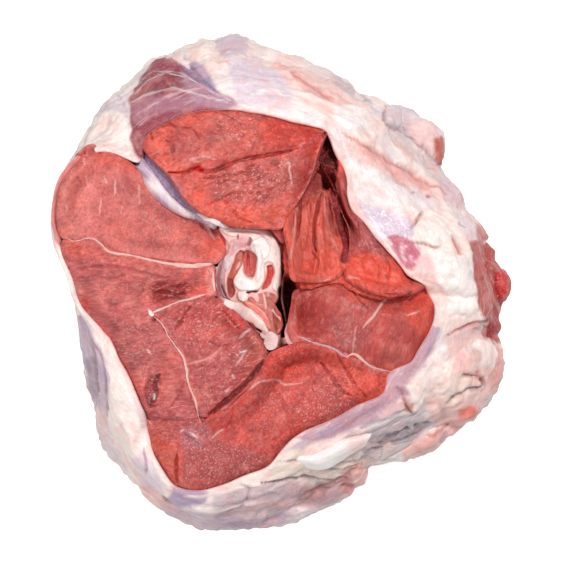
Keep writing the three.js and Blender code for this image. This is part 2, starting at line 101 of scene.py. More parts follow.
def seen(points):
    """The pixels of the photograph where points show."""
    reach = PIXEL * (CAMERA_HEIGHT + FACE_HEIGHT - points[:, 2]) / CAMERA_HEIGHT
    across = (points[:, 0] - FACE_SHIFT[0]) / reach + PHOTO_MIDDLE[0]
    down = PHOTO_MIDDLE[1] - (points[:, 1] - FACE_SHIFT[1]) / reach
    return np.column_stack([across, down])


# ----------
# Noise, falloffs and lines, for many points at once
# ----------
_dice = np.random.default_rng(11)
NOISE_CELLS = 256
NOISE_ORDER = _dice.permutation(NOISE_CELLS)
NOISE_SLOPES = _dice.normal(size=(NOISE_CELLS, 3))
NOISE_SLOPES /= np.linalg.norm(NOISE_SLOPES, axis=1, keepdims=True)
NOISE_GAIN = 1.7  # brings the noise to about -1 to 1
SEED_SHIFT = 17.31  # how far the noise is moved for each seed


def noise(points, size, seed=0):
    """Smooth noise from about -1 to 1. size is the width of its lumps, one number or one for each axis."""
    spot = points / size + seed * SEED_SHIFT
    cell = np.floor(spot).astype(int)
    part = spot - cell
    fade = part ** 3 * (part * (part * 6 - 15) + 10)
    total = np.zeros(len(points))
    for corner in itertools.product((0, 1), repeat=3):
        pick = np.zeros(len(points), int)
        for numbers in (cell + corner).T:
            pick = NOISE_ORDER[(pick + numbers) % NOISE_CELLS]
        weight = np.prod(np.where(corner, fade, 1 - fade), axis=1)
        total += weight * ((part - corner) * NOISE_SLOPES[pick]).sum(1)
    return total * NOISE_GAIN


def rough_noise(points, size, octaves, seed=0):
    """Noise with finer noise on it. Each octave is half as wide and half as strong."""
    return sum(noise(points, np.array(size) / 2 ** k, seed + k) / 2 ** k for k in range(octaves))


def step(value, low, high):
    """0 below low, 1 above high, and a smooth rise between them."""
    t = np.clip((value - low) / (high - low), 0, 1)
    return t * t * (3 - 2 * t)


def smooth_line(points, parts=6):
    """More points on a smooth curve through the given ones."""
    p = np.array(points, float)
    if len(p) < 3:
        return p
    ends = np.vstack([2 * p[0] - p[1], p, 2 * p[-1] - p[-2]])
    out = []
    for a, b, c, d in zip(ends[:-3], ends[1:-2], ends[2:-1], ends[3:]):
        for t in np.linspace(0, 1, parts, endpoint=False):
            out.append(b + 0.5 * t * (c - a + t * (2 * a - 5 * b + 4 * c - d + t * (3 * (b - c) + d - a))))
    return np.array(out + [p[-1]])


def passed_at(line):
    """How much of a line is passed at each of its points."""
    lengths = np.linalg.norm(np.diff(line, axis=0), axis=1)
    return np.concatenate([[0], np.cumsum(lengths)])


def spaced(line, count):
    """A number of points at even steps along a line."""
    passed = passed_at(line)
    wanted = np.linspace(0, passed[-1], count)
    return np.column_stack([np.interp(wanted, passed, line[:, k]) for k in range(line.shape[1])])


def even_line(line, spacing):
    """Points along a line, as far apart as spacing says."""
    return spaced(line, max(4, int(passed_at(line)[-1] / spacing)))


def beside(xy, line):
    """For each point: its distance to a line, and the share of the line passed there."""
    best = np.full(len(xy), 1e9)
    share = np.zeros(len(xy))
    passed = passed_at(line)
    for k, (a, b) in enumerate(zip(line[:-1], line[1:])):
        run = b - a
        t = np.clip(((xy - a) @ run) / max(run @ run, 1e-9), 0, 1)
        gap = xy - a - t[:, None] * run
        distance = np.hypot(gap[:, 0], gap[:, 1])
        near = distance < best
        best = np.where(near, distance, best)
        share = np.where(near, (passed[k] + t * (passed[k + 1] - passed[k])) / passed[-1], share)
    return best, share


def outside_of(xy, outline):
    """How far each point is outside a closed outline. Inside, the number is negative."""
    ring = np.vstack([outline, outline[:1]])
    distance, _ = beside(xy, ring)
    inner = np.zeros(len(xy), bool)
    for a, b in zip(ring[:-1], ring[1:]):
        if a[1] == b[1]:
            continue
        crosses = (a[1] > xy[:, 1]) != (b[1] > xy[:, 1])
        inner ^= crosses & (xy[:, 0] < (b[0] - a[0]) * (xy[:, 1] - a[1]) / (b[1] - a[1]) + a[0])
    return np.where(inner, -distance, distance)


def gaps_from(pixels, spot, radius):
    """How far pixels are from a spot, where 1 is its radius."""
    return np.linalg.norm(pixels - np.array(spot, float), axis=1) / radius


def angles_round(count):
    """A number of even angles round the slice."""
    return np.linspace(-math.pi, math.pi, count + 1)[:-1]


def outward_at(angle):
    """The level direction away from the hub at an angle."""
    return Vector((math.cos(angle), math.sin(angle), 0))


def hub_at(height):
    """The hub's point at a height."""
    return Vector((HUB[0], HUB[1], height))


def round_hub(xy):
    """Each point's angle round the hub and distance from it."""
    away = xy - HUB
    return np.arctan2(away[:, 1], away[:, 0]), np.hypot(away[:, 0], away[:, 1])


class Ring:
    """A distance from the hub for every angle round it."""

    def __init__(self, angles, values, rounds=0):
        self.angles = angles_round(1080)
        order = np.argsort(angles)
        self.values = np.interp(self.angles, angles[order], values[order], period=2 * math.pi)
        for _ in range(rounds):
            beside_it = np.roll(self.values, 1) + np.roll(self.values, -1)
            self.values = (beside_it + 2 * self.values) / 4

    def at(self, angle):
        return np.interp(angle, self.angles, self.values, period=2 * math.pi)


# ----------
# Meshes
# ----------
class Surface:
    """A mesh as arrays: points in millimetres, normals, and what is painted at each point."""

    def __init__(self, mesh):
        self.mesh = mesh
        self.points = self.read(mesh.vertices, "co") / MM
        self.normals = self.read(mesh.vertex_normals, "vector")
        count = len(self.points)
        self.colour = np.ones((count, 3))
        self.lift = np.zeros(count)
        # How wet each point is: it lowers the roughness of flesh and sets where painted glints go.
        self.wet = np.zeros(count)
        self.shade = np.zeros(count)
        self.pixels = np.zeros((count, 2))

    def read(self, data, key):
        flat = np.empty(len(data) * 3, np.float32)
        data.foreach_get(key, flat)
        return flat.reshape(-1, 3).astype(float)

    def write(self):
        self.mesh.vertices.foreach_set("co", (self.points * MM).astype(np.float32).ravel())
        self.mesh.update()
        self.normals = self.read(self.mesh.vertex_normals, "vector")

    def keep(self, name, values, kind="FLOAT", key="value"):
        """Stores a number, vector or colour at each point, which materials read by its name."""
        layer = self.mesh.attributes.new(name, kind, "POINT")
        layer.data.foreach_set(key, values.astype(np.float32).ravel())

    def keep_paint(self):
        rgba = np.column_stack([np.clip(self.colour, 0, 1), np.ones(len(self.colour))])
        self.keep("tint", rgba, "FLOAT_COLOR", "color")
        self.keep("wet", np.clip(self.wet, 0, 1))
        self.keep("shade", np.clip(self.shade, 0, 1))

    def cover(self, name, weight, some=slice(None)):
        """Paints a named colour over the surface, with a weight at each point."""
        part = self.colour[some]
        self.colour[some] = part + np.clip(weight, 0, 1)[:, None] * (np.array(linear(name)) - part)

    def look(self, size, amount, seed):
        """Works out where the points show, shifted a little by noise so that drawn things look grown."""
        shift = np.column_stack([noise(self.points, size, seed), noise(self.points, size, seed + 1)])
        self.pixels = seen(self.points) + amount * shift

    def close_to(self, path, margin):
        """The numbers of the points that show within a margin of a line's box."""
        low = path.min(0) - margin
        high = path.max(0) + margin
        return np.flatnonzero(((self.pixels > low) & (self.pixels < high)).all(1))

    def relax(self, weight, rounds):
        """Moves each point towards the middle of its neighbours."""
        edges = np.empty(len(self.mesh.edges) * 2, np.int32)
        self.mesh.edges.foreach_get("vertices", edges)
        a, b = edges.reshape(-1, 2).T
        count = len(self.points)
        many = np.bincount(a, minlength=count) + np.bincount(b, minlength=count)
        for _ in range(rounds):
            middle = np.empty_like(self.points)
            for k in range(3):
                near_a = np.bincount(a, self.points[b, k], minlength=count)
                near_b = np.bincount(b, self.points[a, k], minlength=count)
                middle[:, k] = (near_a + near_b) / many
            self.points += weight[:, None] * (middle - self.points)


def mesh_from(body, name):
    """Ends a bmesh as a mesh."""
    mesh = bpy.data.meshes.new(name)
    body.to_mesh(mesh)
    body.free()
    return mesh


def object_from(mesh, name):
    piece = bpy.data.objects.new(name, mesh)
    bpy.context.scene.collection.objects.link(piece)
    return piece


def settled(piece):
    """Works the piece's modifiers into its mesh."""
    bpy.context.view_layer.update()
    graph = bpy.context.evaluated_depsgraph_get()
    mesh = bpy.data.meshes.new_from_object(piece.evaluated_get(graph))
    piece.modifiers.clear()
    piece.data = mesh


def refine_top(mesh):
    """Splits the faces that face up near the top, which carry the finest detail."""
    fine = bmesh.new()
    fine.from_mesh(mesh)
    top = {f for f in fine.faces if f.normal.z > 0.1 and f.calc_center_median().z > TOP_FROM * MM}
    edges = [edge for edge in fine.edges if not top.isdisjoint(edge.link_faces)]
    bmesh.ops.subdivide_edges(fine, edges=edges, cuts=1, use_grid_fill=True)
    fine.to_mesh(mesh)
    fine.free()


def soft_copy(node, name, grain, rounds, fine_top=True):
    """A node's solid with an even fine mesh and rounded edges. grain is the size of its faces."""
    source = bmesh.new()
    source.from_mesh(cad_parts[node].data)
    bmesh.ops.remove_doubles(source, verts=source.verts, dist=SAME_PLACE)
    piece = object_from(mesh_from(source, name), name)
    remesh = piece.modifiers.new("even", "REMESH")
    remesh.mode = "VOXEL"
    remesh.voxel_size = grain * MM
    smooth = piece.modifiers.new("soft", "SMOOTH")
    smooth.factor = 0.5
    smooth.iterations = rounds
    settled(piece)
    if fine_top:
        refine_top(piece.data)
    piece.data.name = name
    return piece


def dress(piece, material, slot, *nodes):
    """Gives a finished piece its material, hangs it under the root and hides the nodes that it stands for.
    slot is not used.
    """
    piece.data.materials.clear()
    piece.data.materials.append(material)
    for face in piece.data.polygons:
        face.use_smooth = True
    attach(piece, "root")
    if nodes:
        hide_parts(*nodes)


def finish(piece, surface, material, slot, *nodes, flow=None):
    """Writes a surface and its paint into its piece, and dresses it. flow is what its streaks follow."""
    surface.write()
    surface.keep_paint()
    if flow is not None:
        surface.keep("flow", flow, "FLOAT_VECTOR", "vector")
    dress(piece, material, slot, *nodes)


def tree_of(meshes):
    """A search tree over some meshes, in millimetres."""
    points = []
    faces = []
    for mesh in meshes:
        start = len(points)
        points.extend(Surface(mesh).points.tolist())
        faces.extend([[start + v for v in face.vertices] for face in mesh.polygons])
    return BVHTree.FromPolygons(points, faces)


# ----------
# Painting and modelling what is drawn in pixels
# ----------
def draw_areas(surface, areas, weight):
    """Fills closed outlines: outline, colour, strength, softness of the border, lift in mm, wetness, which
    also sets painted glints.
    """
    for outline, colour, strength, soft, lift, wet in areas:
        path = smooth_line(list(outline) + [outline[0]], 4)[:-1]
        some = surface.close_to(path, soft + 1)
        if not len(some):
            continue
        gap = outside_of(surface.pixels[some], path)
        amount = (1 - step(gap, -0.6 * soft, 0.4 * soft)) * weight[some]
        surface.cover(colour, strength * amount, some)
        surface.lift[some] += lift * amount
        surface.wet[some] = np.maximum(surface.wet[some], wet * amount)


def draw_spots(surface, spots, weight):
    """Soft round spots: place, radius, colour, strength."""
    for spot, radius, colour, strength in spots:
        some = surface.close_to(np.array([spot], float), radius * 1.4)
        if len(some):
            gap = gaps_from(surface.pixels[some], spot, radius)
            surface.cover(colour, strength * (1 - step(gap, 0.2, 1.3)) * weight[some], some)


def draw_strokes(surface, strokes, weight):
    """Lines that taper at their ends: line, width, colour, strength, lift in mm."""
    for line, width, colour, strength, lift in strokes:
        path = smooth_line(line)
        some = surface.close_to(path, width * 1.6 + 1)
        if not len(some):
            continue
        distance, share = beside(surface.pixels[some], path)
        ends = step(share, 0.0, 0.2) * step(1 - share, 0.0, 0.2)
        gap = distance / (width * (0.4 + 0.6 * ends))
        amount = (1 - step(gap, 0.1, 1.3)) * weight[some]
        surface.cover(colour, strength * amount, some)
        surface.lift[some] += lift * amount


def draw_wet_and_glints(surface, spots, weight):
    """Places with wet specks, which are painted glints: place, radius, strength."""
    for spot, radius, strength in spots:
        gap = gaps_from(surface.pixels, spot, radius)
        surface.wet = np.maximum(surface.wet, strength * (1 - step(gap, 0.3, 1.2)) * weight)


def draw_aside(surface, pulls, weight):
    """Draws points near a spot aside: place, radius and move."""
    for spot, radius, (across, down) in pulls:
        near = np.exp(-gaps_from(seen(surface.points), spot, radius) ** 2) * weight
        surface.points[:, :2] += near[:, None] * np.array([across, -down]) * PIXEL


# ----------
# Shader building
# ----------
def plug(tree, socket, value):
    if isinstance(value, bpy.types.NodeSocket):
        tree.links.new(value, socket)
    else:
        socket.default_value = value


def node(tree, kind, inputs, **settings):
    """Adds a node. inputs pairs a socket's name or number with a value or with what is plugged in."""
    made = tree.nodes.new(kind)
    for key, value in settings.items():
        setattr(made, key, value)
    for key, value in inputs.items():
        plug(tree, made.inputs[key], value)
    return made


def calc(tree, operation, a, b=0.0, c=0.0):
    """A sum of a Math node, such as a times b plus c."""
    return node(tree, "ShaderNodeMath", {0: a, 1: b, 2: c}, operation=operation).outputs[0]


def times(tree, *values):
    """The product of some values."""
    result = values[0]
    for value in values[1:]:
        result = calc(tree, "MULTIPLY", result, value)
    return result


def swing(tree, value):
    """A texture's number as its swing about the middle."""
    return calc(tree, "SUBTRACT", value, 0.5)


def between(tree, value, low, high, to_low=0.0, to_high=1.0):
    """Maps a range of values smoothly to another range."""
    inputs = {"Value": value, "From Min": low, "From Max": high, "To Min": to_low, "To Max": to_high}
    return node(tree, "ShaderNodeMapRange", inputs, interpolation_type="SMOOTHSTEP").outputs[0]


def blend(tree, factor, a, b, mode="MIX"):
    made = node(tree, "ShaderNodeMix", {0: factor, 6: a, 7: b}, data_type="RGBA", blend_type=mode)
    return made.outputs[2]


def stretched(tree, vector, scale):
    """A vector times another one."""
    return node(tree, "ShaderNodeVectorMath", {0: vector, 1: scale}, operation="MULTIPLY").outputs[0]


def toned(tree, colour, tone):
    """A colour made lighter or darker."""
    return node(tree, "ShaderNodeVectorMath", {0: colour, "Scale": tone}, operation="SCALE").outputs[0]


def speckle(tree, vector, scale, detail, roughness, distortion=0.0):
    inputs = {"Vector": vector, "Scale": scale, "Detail": detail, "Roughness": roughness}
    return node(tree, "ShaderNodeTexNoise", {**inputs, "Distortion": distortion}).outputs[0]


def cells(tree, vector, scale, feature, output="Distance"):
    inputs = {"Vector": vector, "Scale": scale}
    return node(tree, "ShaderNodeTexVoronoi", inputs, feature=feature).outputs[output]


def new_group(name, inputs, outputs):
    tree = bpy.data.node_groups.new(name, "ShaderNodeTree")
    for label, kind in inputs.items():
        tree.interface.new_socket(label, in_out="INPUT", socket_type="NodeSocket" + kind)
    for label, kind in outputs.items():
        tree.interface.new_socket(label, in_out="OUTPUT", socket_type="NodeSocket" + kind)
    return tree, tree.nodes.new("NodeGroupInput").outputs, tree.nodes.new("NodeGroupOutput").inputs


PAINT_INPUTS = {"Tint": "Color", "Wet_and_glints": "Float", "Shade": "Float"}
FINISH_OUTPUTS = {"Color": "Color", "Roughness": "Float", "Height": "Float"}


def muscle_grain_group():
    """Cut muscle: coarse grains and bundles, dark pits and cracks, and pale specks where it is wet, which are
    painted glints.
    """
    inputs = {"Fibres": "Vector", "Contrast": "Float", **PAINT_INPUTS}
    tree, given, out = new_group("muscle_grain", inputs, FINISH_OUTPUTS)
    fibres = given["Fibres"]
    drift = node(tree, "ShaderNodeTexNoise", {"Vector": fibres, "Scale": 0.4, "Detail": 2.0}).outputs["Color"]
    bent = blend(tree, 0.6, fibres, drift, "LINEAR_LIGHT")
    grain = speckle(tree, fibres, 1.5, 3.0, 0.7)
    pits = speckle(tree, bent, 0.95, 3.0, 0.65)
    broad = speckle(tree, fibres, 0.16, 3.0, 0.6, 0.6)
    torn = speckle(tree, bent, 0.42, 4.0, 0.7, 0.6)
    cell_colour = cells(tree, bent, 0.75, "F1", "Color")
    bundle = node(tree, "ShaderNodeSeparateColor", {0: cell_colour}).outputs[0]
    crack = cells(tree, bent, 0.13, "DISTANCE_TO_EDGE")

    tone = calc(tree, "MULTIPLY_ADD", swing(tree, grain), 1.4, 1.0)
    for texture, strength in ((bundle, 0.22), (broad, 0.6), (torn, 1.3)):
        tone = calc(tree, "ADD", tone, times(tree, swing(tree, texture), strength))
    tone = calc(tree, "MULTIPLY_ADD", calc(tree, "SUBTRACT", tone, 1.0), given["Contrast"], 1.0)
    # Colour follows the pits pattern that also drives the bump: darker in the pits and paler on the rises,
    # partly the grain's own colour and partly painted shade and light.
    hollow = times(tree, between(tree, pits, 0.34, 0.46, 1.0, 0.0), 0.42, given["Contrast"])
    colour = blend(tree, hollow, toned(tree, given["Tint"], tone), shade("deep_red"))
    pale = times(tree, between(tree, pits, 0.53, 0.68), 0.34, given["Contrast"])
    colour = blend(tree, pale, colour, shade("rose"))
    # Painted glints: pale specks where the flesh is wet. Wetness also lowers the roughness below.
    speck = between(tree, speckle(tree, bent, 1.7, 2.0, 0.6), 0.56, 0.68)
    colour = blend(tree, times(tree, speck, given["Wet_and_glints"]), colour, shade("pink"))
    cracked = times(tree, between(tree, crack, 0.0, 0.035, 1.0, 0.0), between(tree, broad, 0.42, 0.6))
    colour = blend(tree, times(tree, cracked, 0.15), colour, shade("deep_red"))
    colour = blend(tree, given["Shade"], colour, shade("dark"))
    tree.links.new(colour, out["Color"])

    rough = calc(tree, "MULTIPLY_ADD", grain, 0.35, 0.3)
    tree.links.new(calc(tree, "MULTIPLY_ADD", given["Wet_and_glints"], -0.16, rough), out["Roughness"])
    height = calc(tree, "MULTIPLY_ADD", grain, 0.6, times(tree, pits, 1.0))
    height = calc(tree, "MULTIPLY_ADD", torn, 1.2, height)
    height = calc(tree, "MULTIPLY_ADD", bundle, 0.1, height)
    tree.links.new(calc(tree, "MULTIPLY_ADD", cracked, -0.3, height), out["Height"])
    return tree


def connective_group():
    """Fat, tendon and silverskin: fine streaks along the flow, soft clouds, and white specks where it is wet,
    which are painted glints.
    """
    inputs = {"Flow": "Vector", "Spot": "Vector", "Streaks": "Float", "Clouds": "Float", **PAINT_INPUTS}
    tree, given, out = new_group("connective", inputs, FINISH_OUTPUTS)
    streak = speckle(tree, stretched(tree, given["Flow"], (0.11, 0.11, 1.0)), 0.62, 4.0, 0.65, 0.5)
    hair = speckle(tree, stretched(tree, given["Flow"], (0.2, 0.2, 1.0)), 1.9, 3.0, 0.65, 0.3)
    cloud = speckle(tree, given["Spot"], 0.14, 4.0, 0.62, 0.5)
    fine = speckle(tree, given["Spot"], 1.2, 3.0, 0.65)
    tone = calc(tree, "MULTIPLY_ADD", times(tree, swing(tree, streak), given["Streaks"]), 1.1, 1.0)
    tone = calc(tree, "MULTIPLY_ADD", times(tree, swing(tree, hair), given["Streaks"]), 0.8, tone)
    tone = calc(tree, "MULTIPLY_ADD", swing(tree, fine), 0.3, tone)
    rosy = times(tree, between(tree, cloud, 0.5, 0.66), given["Clouds"])
    colour = blend(tree, rosy, toned(tree, given["Tint"], tone), shade("rose"))
    dusk = times(tree, between(tree, cloud, 0.34, 0.46, 1.0, 0.0), given["Clouds"], 0.6)
    colour = blend(tree, dusk, colour, shade("violet"))
    pale = times(tree, between(tree, streak, 0.56, 0.7), given["Streaks"], 0.45)
    colour = blend(tree, pale, colour, shade("white"))
    # Painted glints: white specks where the skin is wet.
    speck = between(tree, speckle(tree, given["Spot"], 1.5, 2.0, 0.6), 0.55, 0.68)
    colour = blend(tree, times(tree, speck, given["Wet_and_glints"]), colour, shade("white"))
    colour = blend(tree, given["Shade"], colour, shade("shadow"))
    tree.links.new(colour, out["Color"])
    tree.links.new(calc(tree, "MULTIPLY_ADD", hair, 0.35, 0.22), out["Roughness"])
    height = calc(tree, "MULTIPLY_ADD", hair, 0.5, times(tree, streak, 0.9))
    tree.links.new(calc(tree, "MULTIPLY_ADD", fine, 0.5, height), out["Height"])
    return tree


def attribute(tree, name, socket="Fac"):
    return node(tree, "ShaderNodeAttribute", {}, attribute_name=name).outputs[socket]


FIBRE_STRETCH = 0.14  # how much finer a pattern is across the fibres than along them
COAT_ROUGHNESS = 0.16
SCATTER = (1.0, 0.45, 0.3)  # how far red, green and blue light spreads in flesh, against each other


def finish_material(tree, group, bump, gloss, coat, soft, radius):
    """Joins a group's colour, roughness and height to the Principled shader."""
    plug(tree, group.inputs["Tint"], attribute(tree, "tint", "Color"))
    plug(tree, group.inputs["Wet_and_glints"], attribute(tree, "wet"))
    plug(tree, group.inputs["Shade"], attribute(tree, "shade"))
    height = group.outputs["Height"]
    relief = node(tree, "ShaderNodeBump", {"Strength": 0.9, "Distance": bump * MM, "Height": height})
    sockets = {
        "Base Color": group.outputs["Color"], "Roughness": group.outputs["Roughness"],
        "Normal": relief.outputs[0], "Specular IOR Level": gloss,
        "Coat Weight": coat, "Coat Roughness": COAT_ROUGHNESS,
        "Subsurface Weight": soft, "Subsurface Radius": SCATTER, "Subsurface Scale": radius * MM,
    }
    for name, value in sockets.items():
        plug(tree, tree.nodes["Principled BSDF"].inputs[name], value)


def new_material(name):
    material = bpy.data.materials.new(name)
    material.use_nodes = True
    return material, material.node_tree


def mapped(tree, vector, **changes):
    """A vector turned or scaled by a Mapping node."""
    return node(tree, "ShaderNodeMapping", {"Vector": vector, **changes}).outputs[0]


def flesh_material(name, turn, tilt, grain, contrast):
    """Muscle whose fibres lean by tilt degrees towards the turn angle. grain is the width of a bundle."""
    material, tree = new_material(name)
    spot = node(tree, "ShaderNodeTexCoord", {}).outputs["Object"]
    turned = mapped(tree, spot, Rotation=(0, 0, -math.radians(turn)))
    leaned = mapped(tree, turned, Rotation=(0, -math.radians(tilt), 0))
    across = 1 / (grain * MM)
    fibres = mapped(tree, leaned, Scale=(across, across, across * FIBRE_STRETCH))
    grains = node(tree, "ShaderNodeGroup", {}, node_tree=GRAIN)
    plug(tree, grains.inputs["Fibres"], fibres)
    plug(tree, grains.inputs["Contrast"], contrast)
    finish_material(tree, grains, bump=0.32, gloss=0.3, coat=0.06, soft=0.1, radius=1.0)
    return material


def connective_material(name, streaks, clouds, bump, soft):
    """Fat, tendon or skin. streaks and clouds are how strongly the two patterns show."""
    material, tree = new_material(name)
    spot = node(tree, "ShaderNodeTexCoord", {}).outputs["Object"]
    spread = node(tree, "ShaderNodeGroup", {}, node_tree=CONNECTIVE)
    plug(tree, spread.inputs["Flow"], attribute(tree, "flow", "Vector"))
    plug(tree, spread.inputs["Spot"], stretched(tree, spot, (1 / MM, 1 / MM, 1 / MM)))
    plug(tree, spread.inputs["Streaks"], streaks)
    plug(tree, spread.inputs["Clouds"], clouds)
    finish_material(tree, spread, bump=bump, gloss=0.35, coat=0.12, soft=soft, radius=1.6)
    return material


GRAIN = muscle_grain_group()
CONNECTIVE = connective_group()

# ----------
# Where the flesh ends and where the whole slice ends, as the photograph shows them
# ----------
FLESH_OUTLINE = [
    (140, 141), (146, 131), (160, 122), (170, 117), (187, 111), (205, 107), (228, 106), (250, 108),
    (270, 112), (290, 118), (308, 121), (325, 125), (334, 131), (338, 143), (343, 152), (349, 170),
    (353, 187), (358, 203), (367, 215), (377, 233), (388, 247), (398, 259), (407, 271), (414, 279),
    (433, 286), (438, 303), (438, 318), (433, 333), (423, 350), (415, 364), (400, 375), (394, 382),
    (386, 397), (361, 408), (336, 422), (309, 433), (291, 444), (277, 460), (269, 470), (245, 479),
    (223, 488), (200, 494), (180, 492), (171, 487), (156, 464), (143, 440), (141, 422), (138, 409),
    (126, 379), (115, 359), (102, 335), (88, 318), (77, 302), (71, 278), (60, 250), (57, 225), (58, 205),
    (62, 185), (70, 172), (82, 160), (100, 152), (119, 154), (134, 163),
]
SKIN_OUTLINE = [
    (53, 225), (60, 196), (70, 162), (81, 143), (94, 122), (105, 100), (125, 87), (140, 70), (155, 60),
    (171, 58), (183, 49), (203, 37), (214, 41), (231, 32), (250, 38), (272, 49), (290, 54), (310, 62),
    (330, 73), (346, 82), (360, 93), (379, 96), (390, 106), (408, 106), (421, 118), (441, 130),
    (446, 150), (441, 168), (451, 182), (460, 191), (464, 206), (472, 222), (485, 229), (484, 243),
    (489, 262), (492, 282), (495, 305), (496, 325), (499, 345), (503, 366), (499, 382), (490, 402),
    (466, 424), (438, 443), (432, 450), (390, 463), (366, 466), (366, 480), (355, 486), (345, 498),
    (330, 506), (284, 523), (245, 527), (200, 525), (167, 512), (145, 491), (121, 468), (98, 440),
    (93, 402), (86, 375), (81, 340), (76, 302), (68, 272), (57, 250),
]


def jacket_ring(height):
    """The jacket's inner side at a height, as distances from the hub."""
    tree = tree_of([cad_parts["jacket"].data])
    start = hub_at(height)
    angles = []
    reaches = []
    for angle in angles_round(360):
        hit = tree.ray_cast(start, outward_at(angle))[0]
        if hit:
            angles.append(angle)
            reaches.append((hit - start).length)
    return Ring(np.array(angles), np.array(reaches), 4)


def drawn_ring(outline, height):
    """A closed outline of the photograph at a height, as distances from the hub."""
    path = smooth_line(outline + outline[:1], 12)
    angles, reaches = round_hub(place(path, height))
    return Ring(angles, reaches, 3)


SOLID_RIM = jacket_ring(RIM_HEIGHT - 0.5)
FLESH_RIM = drawn_ring(FLESH_OUTLINE, RIM_HEIGHT)
SKIN_RIM = drawn_ring(SKIN_OUTLINE, WIDEST_HEIGHT)


FITTED_HEIGHTS = (26, 43)  # below the first nothing is fitted, above the second everything is


def fitted(points):
    """Draws points near the cut face in or out, so that the flesh ends where the photograph shows it."""
    angle, reach = round_hub(points[:, :2])
    solid = SOLID_RIM.at(angle)
    share = np.clip(reach / solid, 0, 1.1) ** 3 * step(points[:, 2], *FITTED_HEIGHTS)
    scale = 1 + (FLESH_RIM.at(angle) / solid - 1) * share
    moved = points.copy()
    moved[:, :2] = HUB + (points[:, :2] - HUB) * scale[:, None]
    return moved


# ----------
# The cut muscles
# ----------
Muscle = namedtuple("Muscle", "colour turn tilt grain contrast rough cut")
MUSCLES = {
    # colour, turn and tilt of its fibres in degrees, width of a bundle in mm, contrast, roughness, cut
    "muscle_top": Muscle("flesh_top", 25, 35, 1.27, 0.85, 0.75, "dome"),
    "muscle_left": Muscle("flesh_left", 70, 12, 0.93, 0.65, 0.25, "flat"),
    "muscle_flank": Muscle("flesh_flank", 5, 50, 0.93, 0.85, 0.4, "flat"),
    "muscle_wedge": Muscle("flesh_wedge", 25, 40, 1.12, 0.9, 0.45, "flat"),
    "muscle_base": Muscle("flesh_base", 30, 15, 0.93, 0.8, 0.4, "flat"),
    "muscle_heel": Muscle("flesh_heel", 75, 62, 0.93, 0.55, 0.2, "flat"),
    "muscle_folds": Muscle("flesh_folds", 95, 76, 1.05, 0.7, 0.6, "hollow"),
    "muscle_wall": Muscle("flesh_wall", 115, 76, 1.12, 0.65, 0.5, "hollow"),
}
MUSCLE_GRAIN = 0.72  # millimetres to a face of a muscle, half of that on the cut face
MUSCLE_SEED = 20  # the first muscle's noise starts from this seed, and each other one's from the next
# How each kind of cut face is evened out: the depth of the rolled edge, and how much of it is lifted.
CUTS = {"flat": (6.5, 1.0), "dome": (6.0, 0.6), "hollow": (4.0, 1.0)}

